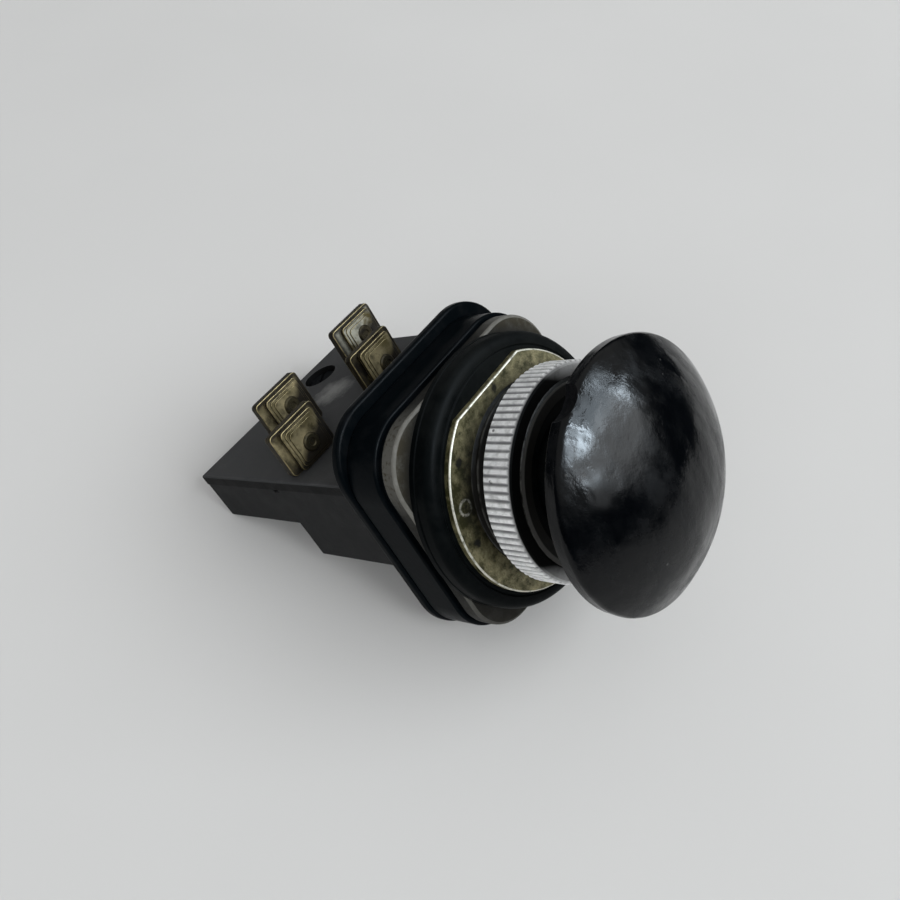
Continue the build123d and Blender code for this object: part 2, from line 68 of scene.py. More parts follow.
# Quarter turn about X, which brings the push axis upright
QUARTER_TURN = Matrix.Rotation(math.pi / 2, 4, "X")
# Gaps in metres below which two places count as one: a coarse and a fine one
SAME_PLACE = 1e-6
MERGE = 1e-7
# Sides of turned rings, of screws and round holes, of the thin holes in the mouldings, of one coil and of
# its wire
ROUND_STEPS = 160
SCREW_STEPS = 48
HOLE_STEPS = 32
COIL_STEPS = 36
WIRE_SIDES = 12
# Steps in one turn of the thread and in one serration of the nut
TURN_STEPS = 96
TOOTH_STEPS = 10
# One turn of the thread: place along the pitch, and height from root to crest
THREAD_PROFILE = ((0.0, 0.0), (0.10, 0.0), (0.45, 1.0), (0.60, 1.0), (0.95, 0.0), (1.0, 0.0))
# Edges sharper than this stay crisp
CRISP_ANGLE = math.radians(32.0)
# Scale per metre of the noise that roughens the broken rim
CHIP_GRAIN_SCALE = 900.0
# Radius of the block and base screws, as a share of their heads' radius
SHANK_SHARE = 0.56
TERMINALS = ("nc_left", "no_left", "nc_right", "no_right")
# The terminal that keeps its plating, and the one whose plate is painted dark as shade
PLATED_TERMINAL = "no_right"
SHADED_TERMINAL = "nc_right"
# Share of the plating left on that terminal and on the others
PLATED_SHARE = 0.95
BARE_SHARE = 0.12
# Stains on the washer's front: across, height and radius, in millimetres
WASHER_STAINS = ((0.6, 16.4, 0.75), (-12.4, 12.6, 0.85), (-15.6, 6.6, 0.4), (-17.2, 0.8, 0.7))
# Ring-shaped mark on the washer's front: across, height and radius, in millimetres
WASHER_RING_MARK = (-15.6, 6.6, 1.15)
# Middle of the scuff on the cover, in millimetres
COVER_SCUFF = (3.9, 39.8, 14.8)
# Range in which most of a cloudy noise lies
CLOUD_LOW = 0.3
CLOUD_HIGH = 0.7
# Weights of X, Y and Z: all alike, and without the push axis
EVEN = (1.0, 1.0, 1.0)
OFF_AXIS = (1.0, 0.0, 1.0)
# Direction across the push axis, towards the top of the camera's view, along which painted shade and painted
# sheen change
SHADE_RISE = (0.66, 0.0, 0.75)
# Where the dark curtain starts to fade and where it is gone, as shares of its height
FLAG_FADE = (0.45, 0.97)
# Dull places of the table, as a share of its colour
TABLE_DULL = 0.97
# Width of the camera's sensor in millimetres, and its nearest sight in metres
SENSOR_WIDTH = 36.0
NEAREST_SIGHT = 0.005
# Lamps: name, turn from the front towards +X, height over the table, width and depth as shares of the
# lamp distance, strength, whether surfaces are lit and whether gloss shows the lamp. Angles are in degrees.
LAMPS = (
    ("window", 14.0, 40.0, 1.00, 0.60, 4.6, True, True),
    ("fill", -72.0, 32.0, 0.90, 0.50, 1.7, True, False),
    ("curtain", 16.0, 60.0, 0.62, 0.36, 9.0, False, True),
    ("pane_right", 51.0, 43.0, 0.16, 0.13, 46.0, False, True),
    ("pane_top", 62.0, 57.0, 0.11, 0.18, 40.0, False, True),
    ("pane_left", -15.0, 60.0, 0.13, 0.28, 52.0, False, True),
    ("pane_low", -15.0, 37.0, 0.08, 0.11, 26.0, False, True),
)


def length(name, description, millimetres):
    """A size that a user can change, given in millimetres."""
    return FloatProperty(name=name, description=description, default=millimetres * MM, unit="LENGTH",
                         precision=5)


def colour(name, description, red, green, blue):
    """A colour that a user can change."""
    return FloatVectorProperty(name=name, description=description, default=(red, green, blue),
                               subtype="COLOR", min=0.0, max=1.0)


class CapSizes(PropertyGroup):
    """Sizes and colours of the mushroom cap."""

    radius: length("Radius", "Push axis to the crease", 20.6)
    dome: length("Dome", "Height of the dome over the crease", 8.0)
    band: length("Band", "Rim to the crease", 2.3)
    taper: length("Taper", "Rim inside the crease", 0.25)
    crease: length("Crease", "Rounding of the crease", 0.7)
    wall: length("Wall", "Wall at the rim", 1.9)
    rim_edge: length("Rim edge", "Rounding of the rim", 0.2)
    roof: length("Roof", "Depth of the hollow beyond the crease", 0.8)
    roof_margin: length("Roof margin", "Edge of the hollow inside the outline", 3.9)
    boss: length("Boss", "Radius of the boss on the plunger", 7.5)
    boss_overhang: length("Boss overhang", "Boss beyond the rim", 1.0)
    socket: length("Socket", "Radius of the hole for the plunger's stud", 3.05)
    socket_depth: length("Socket depth", "Depth of the hole for the stud", 5.7)
    chip_angle: FloatProperty(name="Chip angle", description="Place of the broken rim, from +X towards +Z",
                              default=math.radians(110.0), subtype="ANGLE")
    chip_length: length("Chip length", "Length of the broken rim", 7.0)
    chip_depth: length("Chip depth", "Depth of the broken rim", 1.5)
    chip_grain: length("Chip grain", "Roughness of the broken face", 0.09)
    black: colour("Black", "Polished black plastic", 0.0006, 0.0009, 0.0014)
    haze: colour("Haze", "Black plastic dulled by handling", 0.0018, 0.0023, 0.0031)
    speck: colour("Speck", "Specks of dust on the cap", 0.20, 0.20, 0.19)
    broken: colour("Broken", "Broken face of the plastic", 0.004, 0.004, 0.005)


class CollarSizes(PropertyGroup):
    """Sizes and colours of the flange, thread, gasket, washer and ring nut."""

    bore: length("Bore", "Radius inside the bushing", 12.6)
    guide: length("Guide", "Radius of the hole that guides the plunger", 6.3)
    guide_wall: length("Guide wall", "Wall at the back of the bore", 2.2)
    thread: length("Thread", "Radius over the thread", 14.9)
    thread_pitch: length("Thread pitch", "Rise of one turn", 1.4)
    thread_depth: length("Thread depth", "Crest to root", 0.55)
    flange_thickness: length("Flange thickness", "Thickness of the square flange", 2.6)
    flange_corner: length("Flange corner", "Radius of the flange's corners", 9.4)
    flange_edge: length("Flange edge", "Rounding of the flange's front edge", 0.5)
    # A band of painted shade on the flange round the gasket
    gasket_shade_width: length("Grime width", "Band of grime on the flange round the gasket", 3.4)
    gasket_edge: length("Gasket edge", "Rounding of the gasket's front edge", 1.7)
    gasket_groove: length("Gasket groove", "Radius of the fine grooves in the gasket", 0.22)
    gasket_inset: length("Gasket inset", "Groove to the gasket's edge", 2.3)
    side_groove: length("Side groove", "Gasket's rear to the groove in its side", 0.9)
    gasket_ring_pitch: length("Gasket ring pitch", "Spacing of the gasket's turned rings", 0.9)
    seal_ring_pitch: length("Seal ring pitch", "Spacing of the shaft seal's turned rings", 0.6)
    fit: length("Fit", "Gap round the thread", 0.15)
    washer_edge: length("Washer edge", "Bevel round the washer's front", 0.25)
    nut_teeth: IntProperty(name="Nut teeth", description="Serrations round the nut", default=90, min=12)
    nut_groove: length("Nut groove", "Radius of one serration", 0.32)
    nut_groove_depth: length("Nut groove depth", "Depth of one serration", 0.28)
    nut_chamfer: length("Nut chamfer", "Chamfer at the nut's front", 0.6)
    # The painted shade on the nut's front chamfer stops here
    nut_unshaded_rim: length("Nut rim start", "Where the clean rim starts on the nut's front chamfer", 0.22)
    nut_rear_chamfer: length("Nut rear chamfer", "Chamfer at the nut's rear", 0.3)
    zinc: colour("Zinc", "Dull cast metal of the flange", 0.128, 0.124, 0.110)
    zinc_brown_tarnish_and_shade: colour("Brown zinc", "Stained cast metal", 0.050, 0.042, 0.026)
    zinc_rubbed: colour("Rubbed zinc", "Rubbed edge of the flange", 0.24, 0.235, 0.22)
    # Grime and painted shade: the thread's dark, also used for painted shade on the flange and the washer
    dark_grime_and_shade: colour("Dark thread", "Grimy thread", 0.0085, 0.008, 0.007)
    rubber: colour("Rubber", "Gasket rubber", 0.0016, 0.0024, 0.0027)
    # Also the painted sheen on the rubber's upper side
    rubber_dust_and_sheen: colour("Rubber dust", "Dust on the rubber", 0.0058, 0.0068, 0.0068)
    washer_pale: colour("Pale washer", "Worn plating of the washer", 0.33, 0.295, 0.165)
    washer_stain: colour("Stained washer", "Yellowed plating of the washer", 0.038, 0.036, 0.010)
    washer_bright: colour("Bright edge", "Rubbed edge of the washer", 0.64, 0.62, 0.53)
    # Painted shade on the nut's front face
    shade_and_grime: colour("Grime", "Black grime on the nut's face", 0.0020, 0.0021, 0.0020)
    nut_bright: colour("Bright nut", "Bare metal of the ring nut", 0.92, 0.92, 0.915)
    nut_grey: colour("Grey nut", "Dulled metal of the ring nut", 0.50, 0.50, 0.49)
    # Painted shade in the roots of the serrations
    nut_root_shade: colour("Nut root", "Metal in the roots of the serrations", 0.15, 0.15, 0.155)


class BlockSizes(PropertyGroup):
    """Sizes and colours of the square body, the contact block and its cover."""

    body_corner: length("Body corner", "Radius of the body's corners", 10.0)
    pocket: length("Pocket", "Radius of the room for the plunger's foot", 10.6)
    step_depth: length("Step depth", "Width of the seam and step at the body's front edge", 0.9)
    seam_depth: length("Seam depth", "Depth of the seam behind the flange", 0.9)
    neck_edge: length("Neck edge", "Rounding of the neck in the seam", 0.1)
    shoulder_edge: length("Shoulder edge", "Rounding of the body beside the seam", 0.45)
    step_reach: length("Step reach", "How far the step is cut into the body's side", 1.8)
    step_top: length("Step top", "Upper end of the step", 7.6)
    step_bottom: length("Step bottom", "Lower end of the step", -12.0)
    lip_thickness: length("Lip thickness", "Thickness of the square lip", 2.0)
    lip_corner: length("Lip corner", "Radius of the lip's corners", 10.0)
    lip_edge: length("Lip edge", "Rounding of the lip's edges", 0.6)
    front_length: length("Front length", "Deep part of the block, behind the lip", 20.8)
    front_bottom: length("Front bottom", "Underside of the deep part", -3.2)
    rear_bottom: length("Rear bottom", "Underside of the shallow part", 4.5)
    block_edge: length("Block edge", "Rounding of the block's edges", 0.4)
    side_wall: length("Side wall", "Walls round the contacts", 1.8)
    front_wall: length("Front wall", "Wall behind the lip", 2.0)
    floor_wall: length("Floor wall", "Floor under the contacts", 1.7)
    cavity_length: length("Cavity length", "Length of the room for the contacts", 29.65)
    trough_width: length("Trough width", "Room under the carrier's arm", 7.6)
    trough_length: length("Trough length", "Length of that room", 15.7)
    trough_floor: length("Trough floor", "Height of that room's floor", 4.2)
    nose_height: length("Nose height", "Height of the carrier's nose", 6.8)
    nose_hole: length("Nose hole", "Radius of the hole for the nose", 2.5)
    contact_height: length("Contact height", "Height of the contacts", 9.4)
    tail_hole: length("Tail hole", "Radius of the hole for the carrier's tail", 2.3)
    tail_hole_depth: length("Tail hole depth", "Depth of the hole for the tail", 7.2)
    notch_place: length("Notch place", "Pry notch behind the lip", 20.5)
    notch_width: length("Notch width", "Width of the pry notch", 1.6)
    notch_depth: length("Notch depth", "Depth of the pry notch", 0.7)
    slot_gap: length("Slot gap", "Gap round the terminals' tails", 0.15)
    sink_radius: length("Sink radius", "Radius of the sink for the cover's screw", 3.5)
    sink_depth: length("Sink depth", "Depth of that sink", 1.5)
    cover_screw_head: length("Cover screw head", "Height of the cover screw's head", 0.8)
    cover_screw_slot: length("Cover screw slot", "Depth of the cover screw's slot", 0.4)
    cover_screw_shank: length("Cover screw shank", "Radius of the cover screw", 1.3)
    cover_screw_pilot: length("Cover screw pilot", "Radius of its hole in the housing", 1.35)
    cover_screw_hole: length("Cover screw hole", "Radius of its hole in the cover", 1.45)
    block_screw_gap: length("Screw gap", "Gap round the screws' shanks", 0.3)
    black: colour("Black", "Moulded black plastic", 0.0014, 0.0025, 0.0034)
    dust: colour("Dust", "Dusty black plastic", 0.0058, 0.0064, 0.0074)
    phenolic: colour("Phenolic", "Matt grey-black of the contact block", 0.047, 0.0475, 0.0485)
    phenolic_pale: colour("Pale phenolic", "Rubbed places of the contact block", 0.066, 0.066, 0.067)
    scuff: colour("Scuff", "Pale scuff on the cover", 0.25, 0.25, 0.24)


class TerminalSizes(PropertyGroup):
    """Sizes and colours of the terminals, wire clamps and screws."""

    corner: length("Corner", "Radius of the plates' corners", 0.8)
    edge: length("Edge", "Worn edge of the plates", 0.14)
    blade_bottom: length("Blade bottom", "Underside of the wide blade, on the cover", 14.8)
    tail_width: length("Tail width", "Width of the tail through the cover", 5.6)
    screw_hole: length("Screw hole", "Radius of the hole for the screw", 1.9)
    clamp_hole: length("Clamp hole", "Radius of the clamp's thread", 1.65)
    clamp_plate: length("Clamp plate", "Thickness of the clamp's plate", 0.8)
    clamp_step: length("Clamp step", "Width of one step on the clamp", 0.5)
    step_overlap: length("Step overlap", "How deep each step is sunk into the clamp's plate", 0.2)
    shank: length("Shank", "Radius of the terminal screws", 1.6)
    head_height: length("Head height", "Height of the terminal screws' heads", 1.9)
    slot_width: length("Slot width", "Width of a screw slot", 0.8)
    slot_depth: length("Slot depth", "Depth of a screw slot", 0.8)
    block_screw_head: length("Block screw head", "Height of the block screws' heads", 2.0)
    base_screw_head: length("Base screw head", "Height of the base screws' heads", 1.8)
    tan: colour("Tan", "Rubbed bronze", 0.29, 0.23, 0.112)
    olive: colour("Olive", "Tarnished bronze", 0.096, 0.078, 0.033)
    brown_tarnish_and_shade: colour("Brown", "Deeply tarnished bronze", 0.010, 0.0075, 0.005)
    pale: colour("Pale", "Plating left on one terminal", 0.36, 0.35, 0.29)
    # Also painted shade on the bronze walls and edges, and painted shadow on the plates
    plated: colour("Plated", "Plated steel of the screws", 0.075, 0.062, 0.034)
    plated_dark: colour("Dark plated", "Stained steel of the screws", 0.014, 0.011, 0.007)


class SpringSizes(PropertyGroup):
    """Sizes of the three coil springs."""

    return_wire: length("Return wire", "Wire of the return spring", 0.9)
    return_turns: FloatProperty(name="Return turns", description="Turns of the return spring", default=3.5)
    contact_wire: length("Contact wire", "Wire of the contact spring", 0.35)
    contact_turns: FloatProperty(name="Contact turns", description="Turns of the contact spring", default=3.5)
    carrier_wire: length("Carrier wire", "Wire of the carrier spring", 0.5)
    carrier_turns: FloatProperty(name="Carrier turns", description="Turns of the carrier spring", default=7.0)


class InnerColours(PropertyGroup):
    """Colours of the pieces inside, clean and stained."""

    plunger: colour("Plunger", "Black nylon of the plunger", 0.010, 0.010, 0.011)
    plunger_worn: colour("Worn plunger", "Worn nylon of the plunger", 0.020, 0.020, 0.021)
    carrier: colour("Carrier", "Pale nylon of the contact carrier", 0.55, 0.53, 0.47)
    carrier_stained: colour("Stained carrier", "Yellowed nylon of the contact carrier", 0.44, 0.42, 0.36)
    clip: colour("Clip", "Steel of the clip and the spring washer", 0.42, 0.42, 0.42)
    clip_stained: colour("Stained clip", "Stained steel of the same", 0.20, 0.19, 0.18)
    copper: colour("Copper", "Copper of the contact bridge", 0.56, 0.30, 0.17)
    copper_stained: colour("Stained copper", "Tarnished copper", 0.30, 0.15, 0.09)
    silver: colour("Silver", "Silver of the contact tips", 0.72, 0.71, 0.68)
    silver_stained: colour("Stained silver", "Tarnished silver", 0.40, 0.38, 0.34)
    spring: colour("Spring", "Wire of the springs", 0.46, 0.46, 0.47)
    spring_stained: colour("Stained spring", "Dulled wire", 0.30, 0.30, 0.30)


class StageSettings(PropertyGroup):
    """Table, light and camera."""

    table: colour("Table", "Pale table", 0.665, 0.655, 0.64)
    room: colour("Room", "Light of the room", 0.46, 0.465, 0.47)
    backdrop: colour("Backdrop", "Pale background", 0.63, 0.63, 0.615)
    daylight: colour("Daylight", "Light of the lamps", 0.93, 0.97, 1.0)
    sky: colour("Sky", "Bluish panes that the gloss shows", 0.76, 0.89, 1.0)
    flag: colour("Flag", "Dark curtain that only the gloss shows", 0.018, 0.022, 0.027)
    table_half: length("Table half", "Middle of the table to its edge", 1600.0)
    table_gap: length("Table gap", "Table below the edges that the part lies on", 0.1)
    lamp_distance: length("Lamp distance", "Part to the lamps", 2000.0)
    flag_height: length("Flag height", "Height of the dark curtain", 340.0)
    flag_distance: length("Flag distance", "Table under the part to the dark curtain", 400.0)
    camera_place: FloatVectorProperty(name="Camera place", description="Where the camera stands",
                                      default=(-0.07922, -0.09814, 0.07578), subtype="XYZ", unit="LENGTH",
                                      precision=5)
    camera_right: FloatVectorProperty(name="Camera right", description="Right of the picture", subtype="XYZ",
                                      default=(0.548, -0.6968, -0.4628))
    camera_up: FloatVectorProperty(name="Camera up", description="Top of the picture", subtype="XYZ",
                                   default=(0.6582, 0.0177, 0.7527))
    lens: FloatProperty(name="Lens", description="Focal length on a 36 mm sensor", default=35.6,
                        unit="CAMERA")


# Mesh helpers

def bevel(bm, edges, width, segments):
    """Rounds edges and gives back the new faces."""
    made = bmesh.ops.bevel(bm, geom=edges, offset=width, offset_type="OFFSET", affect="EDGES",
                           segments=segments, profile=0.5, material=-1, clamp_overlap=True)
    return made["faces"]


def verts_of(geom):
    """The vertices in what a mesh operator made."""
    return [item for item in geom if isinstance(item, bmesh.types.BMVert)]


def edges_of(geom):
    """The edges in what a mesh operator made."""
    return [item for item in geom if isinstance(item, bmesh.types.BMEdge)]


def carried_edges(geom):
    """The edges that an extrusion carried along, with both ends among its new vertices."""
    verts = set(verts_of(geom))
    return [edge for edge in edges_of(geom) if all(vert in verts for vert in edge.verts)]


def chain(bm, points):
    """Joins points given as distance from the axis and place along it, and gives back the vertices."""
    verts = [bm.verts.new((radius, place, 0)) for radius, place in points]
    for first, second in zip(verts, verts[1:]):
        bm.edges.new((first, second))
    return verts


def arc(bm, vert, centre, angle, steps):
    """Draws an arc from a vertex round a centre in the section plane, and gives back its last vertex."""
    made = bmesh.ops.spin(bm, geom=[vert], cent=(*centre, 0), axis=(0, 0, 1), angle=angle, steps=steps)
    return verts_of(made["geom_last"])[0]


def lathe(bm, steps=ROUND_STEPS):
    """Turns the section about the push axis."""
    bmesh.ops.spin(bm, geom=bm.verts[:] + bm.edges[:], cent=(0, 0, 0), axis=AXIS, angle=2 * math.pi,
                   steps=steps, use_merge=True)


def from_axis(vert):
    """Distance of a vertex from the push axis."""
    return math.hypot(vert.co.x, vert.co.z)


def rings(bm, *places):
    """The round edges that pass through the given places of the section."""
    def same(first, second):
        return abs(first - second) < SAME_PLACE

    def at(vert):
        return any(same(from_axis(vert), radius) and same(vert.co.y, place) for radius, place in places)

    def level(first, second):
        return same(first.co.y, second.co.y) and same(from_axis(first), from_axis(second))

    return [edge for edge in bm.edges if all(at(vert) for vert in edge.verts) and level(*edge.verts)]


def edge_place(bm, radius):
    """Place along the axis of the ring of a turned mesh that has the given radius."""
    return next(v.co.y for v in bm.verts if abs(from_axis(v) - radius) < SAME_PLACE)


def add_box(bm, low, high):
    """Adds a box between two corners."""
    low, high = Vector(low), Vector(high)
    place = Matrix.Translation((low + high) / 2) @ Matrix.Diagonal((*(high - low), 1))
    bmesh.ops.create_cube(bm, size=1, matrix=place)


def add_rod(bm, start, end, radius, segments=SCREW_STEPS):
    """Adds a closed rod between two points."""
    start, end = Vector(start), Vector(end)
    turn = (end - start).to_track_quat("Z", "Y").to_matrix().to_4x4()
    bmesh.ops.create_cone(bm, cap_ends=True, segments=segments, radius1=radius, radius2=radius,
                          depth=(end - start).length, matrix=Matrix.Translation((start + end) / 2) @ turn)


def add_slab(bm, low, high, corner, edge, corner_steps, edge_steps, front_only=False, wall_finish=0):
    """Adds a slab with rounded corners about the push axis. Its rims are rounded and get finish 1."""
    slab = bmesh.new()
    add_box(slab, low, high)
    upright = [e for e in slab.edges if abs((e.verts[0].co - e.verts[1].co).normalized().y) > 0.5]
    bevel(slab, upright, corner, corner_steps)
    ends = [f for f in slab.faces if (f.normal.y < -0.5 if front_only else abs(f.normal.y) > 0.5)]
    outline = [e for e in slab.edges if any(f in ends for f in e.link_faces)]
    rims = bevel(slab, outline, edge, edge_steps)
    for face in slab.faces:
        face.material_index = 0 if abs(face.normal.y) > 0.99 else wall_finish
    for face in rims:
        face.material_index = 1
    mesh = bpy.data.meshes.new("slab")
    slab.to_mesh(mesh)
    slab.free()
    bm.from_mesh(mesh)
    bpy.data.meshes.remove(mesh)


def screw_pair(low, high, head_radius):
    """Places of the two screws of a node, from its box."""
    height = (low.z + high.z) / 2
    return ((low.x + head_radius, height), (high.x - head_radius, height))


def add_screw_holes(bm, low, high, rear, gap):
    """Adds the rods that cut the holes of a pair of screws, up to a place behind."""
    head_radius = (high.z - low.z) / 2
    shank = SHANK_SHARE * head_radius + gap
    for across, height in screw_pair(low, high, head_radius):
        add_rod(bm, (across, low.y, height), (across, rear, height), shank, HOLE_STEPS)


def to_object(bm, name, *finishes):
    """Merges doubles, turns the faces outwards and makes an object of the mesh, with its finishes."""
    bmesh.ops.remove_doubles(bm, verts=bm.verts, dist=MERGE)
    bmesh.ops.recalc_face_normals(bm, faces=bm.faces)
    mesh = bpy.data.meshes.new(name)
    bm.to_mesh(mesh)
    bm.free()
    for finish in finishes:
        mesh.materials.append(finish)
    piece = bpy.data.objects.new(name, mesh)
    bpy.context.scene.collection.objects.link(piece)
    return piece


def apply_modifiers(piece):
    """Leaves the piece with the mesh that its modifiers make."""
    bpy.context.view_layer.update()
    old = piece.data
    made = piece.evaluated_get(bpy.context.evaluated_depsgraph_get())
    piece.data = bpy.data.meshes.new_from_object(made)
    piece.modifiers.clear()
    bpy.data.meshes.remove(old)


def combine(piece, bm, operation="DIFFERENCE"):
    """Cuts another mesh out of a piece, or joins it on."""
    tool = to_object(bm, piece.name + "_tool", *piece.data.materials)
    change = piece.modifiers.new("combine", "BOOLEAN")
    change.operation = operation
    change.solver = "EXACT"
    change.object = tool
    apply_modifiers(piece)
    bpy.data.objects.remove(tool)


def fused(bm, name, *finishes):
    """Makes one closed piece of overlapping closed shells."""
    piece = to_object(bm, name, *finishes)
    change = piece.modifiers.new("fuse", "BOOLEAN")
    change.operation = "UNION"
    change.solver = "EXACT"
    change.use_self = True
    spare = to_object(bmesh.new(), name + "_tool", *finishes)
    change.object = spare
    apply_modifiers(piece)
    bpy.data.objects.remove(spare)
    return piece


def turned_screw(name, finish, head, head_height, shank, total, sizes, slot_depth, slot_angle):
    """A slotted screw on the push axis, its head's top at the origin and its end towards -Y."""
    crown = 0.12 * head_height
    under_edge = 0.02 * MM
    tip = 0.25 * MM
    dimple = 0.18 * MM
    bm = bmesh.new()
    chain(bm, (
        (0, 0),
        (0.55 * head, -0.2 * crown),
        (0.90 * head, -crown),
        (head, -crown - 0.1 * head),
        (head, under_edge - head_height),
        (head - under_edge, -head_height),
        (shank, -head_height),
        (shank, tip - total),
        (shank - tip, -total),
        (0.45 * shank, -total),
        (0.35 * shank, dimple - total),
        (0, dimple - total),
    ))
    lathe(bm, SCREW_STEPS)
    screw = to_object(bm, name, finish)
    slot = bmesh.new()
    half = sizes.slot_width / 2
    add_box(slot, (-2 * head, -slot_depth, -half), (2 * head, MM, half))
    bmesh.ops.rotate(slot, verts=slot.verts, cent=(0, 0, 0), matrix=Matrix.Rotation(slot_angle, 3, "Y"))
    combine(screw, slot)
    return screw


def shade(piece):
    """Smooth shading with crisp edges, weighted so that flats stay flat."""
    piece.data.polygons.foreach_set("use_smooth", [True] * len(piece.data.polygons))
    piece.data.set_sharp_from_angle(angle=CRISP_ANGLE)
    weighted = piece.modifiers.new("weighted", "WEIGHTED_NORMAL")
    weighted.keep_sharp = True
    apply_modifiers(piece)


def present(piece, body, slot, *nodes):
    """Shades a piece, gives it its body and hides the solids that it stands for. The slot is not used."""
    if not piece.data.polygons:
        raise RuntimeError(piece.name + " came out empty")
    shade(piece)
    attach(piece, body)
    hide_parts(*nodes)


# Materials

class Finish:
    """One procedural material, read from Object coordinates. Scales of noise are per metre."""

    def __init__(self, name, **constants):
        self.material = bpy.data.materials.new(name)
        self.material.use_nodes = True
        self.tree = self.material.node_tree
        self.shader = self.tree.nodes["Principled BSDF"]
        self.place = self.node("ShaderNodeTexCoord").outputs["Object"]
        for socket, value in constants.items():
            self.shader.inputs[socket.replace("_", " ")].default_value = value

    def plug(self, socket, value):
        """Links a socket, or sets its value."""
        if isinstance(value, bpy.types.NodeSocket):
            self.tree.links.new(value, socket)
        else:
            socket.default_value = value

    def node(self, kind, inputs=None, **settings):
        """Adds a node with its settings and its inputs."""
        made = self.tree.nodes.new(kind)
        for name, value in settings.items():
            setattr(made, name, value)
        for name, value in (inputs or {}).items():
            self.plug(made.inputs[name], value)
        return made

    def math(self, operation, first, second=0.0):
        """One step of arithmetic."""
        return self.node("ShaderNodeMath", {0: first, 1: second}, operation=operation).outputs[0]

    def level(self, factor, start, end, low=0.0, high=1.0):
        """Maps a factor from start..end to low..high, held at both ends."""
        return self.node("ShaderNodeMapRange", {"Value": factor, "From Min": start, "From Max": end,
                                                "To Min": low, "To Max": high}).outputs[0]

    def follow(self, cloud, low, high):
        """A value that goes from low to high with a cloudy noise."""
        return self.level(cloud, CLOUD_LOW, CLOUD_HIGH, low, high)

    def blend(self, factor, first, second):
        """Mixes two colours."""
        first, second = ((*c, 1.0) if not isinstance(c, bpy.types.NodeSocket) else c for c in (first, second))
        mix = self.node("ShaderNodeMix", {0: factor, 6: first, 7: second}, data_type="RGBA")
        return mix.outputs[2]

    def noise(self, scale, detail=4.0, roughness=0.55, stretch=EVEN):
        """Cloudy noise, finer for a larger scale."""
        where = self.place
        if stretch != EVEN:
            where = self.node("ShaderNodeMapping", {"Vector": where, "Scale": stretch}).outputs[0]
        return self.node("ShaderNodeTexNoise", {"Vector": where, "Scale": scale, "Detail": detail,
                                                "Roughness": roughness}).outputs[0]

    def specks(self, scale, size):
        """Small round marks scattered over the piece."""
        cells = self.node("ShaderNodeTexVoronoi", {"Vector": self.place, "Scale": scale}).outputs["Distance"]
        return self.level(cells, size, size * 0.6)

    def along(self, axis):
        """Place along X, Y or Z."""
        return self.node("ShaderNodeSeparateXYZ", {0: self.place}).outputs[axis]

    def radius(self):
        """Distance from the push axis."""
        flat = self.node("ShaderNodeVectorMath", {0: self.place, 1: OFF_AXIS}, operation="MULTIPLY")
        return self.node("ShaderNodeVectorMath", {0: flat.outputs[0]}, operation="LENGTH").outputs["Value"]

    def near(self, centre, flatten=EVEN):
        """Distance from a centre given in metres, with each direction weighted."""
        where = self.node("ShaderNodeVectorMath", {0: self.place, 1: flatten}, operation="MULTIPLY")
        gap = self.node("ShaderNodeVectorMath", {0: where.outputs[0], 1: centre}, operation="DISTANCE")
        return gap.outputs["Value"]

    def rise(self):
        """Place along the direction in which painted shade and painted sheen change."""
        place = self.node("ShaderNodeVectorMath", {0: self.place, 1: SHADE_RISE}, operation="DOT_PRODUCT")
        return place.outputs["Value"]

    def facing(self, axis):
        """How far the surface faces along X, Y or Z, without sign."""
        normal = self.node("ShaderNodeNewGeometry").outputs["Normal"]
        part = self.node("ShaderNodeSeparateXYZ", {0: normal}).outputs[axis]
        return self.math("ABSOLUTE", part)

    def bump(self, height, distance):
        """Raises the surface by a height from 0 to 1 times a distance in metres."""
        made = self.node("ShaderNodeBump", {"Height": height, "Distance": distance, "Strength": 1.0})
        self.plug(self.shader.inputs["Normal"], made.outputs[0])

    def dress(self, **sockets):
        """Links the shader's sockets and gives back the material."""
        for socket, value in sockets.items():
            self.plug(self.shader.inputs[socket.replace("_", " ")], value)
        return self.material


def cap_finish(sizes):
    """Polished black plastic, hazy from handling."""
    f = Finish("cap_black", Specular_IOR_Level=0.5, IOR=1.28)
    haze = f.level(f.noise(260.0, 5.0, 0.6), 0.40, 0.72)
    smears = f.level(f.noise(170.0, 5.0, 0.62, (1.0, 1.5, 0.6)), 0.42, 0.62)
    body = f.blend(f.math("MULTIPLY", haze, smears), sizes.black, sizes.haze)
    dust = f.math("MULTIPLY", f.specks(420.0, 0.10), f.level(f.noise(90.0), 0.52, 0.60))
    body = f.blend(f.math("MULTIPLY", dust, 0.25), body, sizes.speck)
    waves = f.math("ADD", f.noise(150.0, 2.0, 0.40, (1.0, 1.4, 0.7)), f.math("MULTIPLY", smears, 0.09))
    f.bump(waves, 0.42 * MM)
    return f.dress(Base_Color=body, Roughness=f.level(f.math("ADD", haze, smears), 0.0, 1.7, 0.12, 0.36))


def broken_finish(sizes):
    """Dull grain of the broken rim."""
    f = Finish("cap_broken", Specular_IOR_Level=0.08, Roughness=0.75)
    grain = f.noise(1600.0, 6.0, 0.65)
    f.bump(grain, 0.2 * MM)
    return f.dress(Base_Color=f.blend(f.level(grain, 0.35, 0.60), sizes.black, sizes.broken))


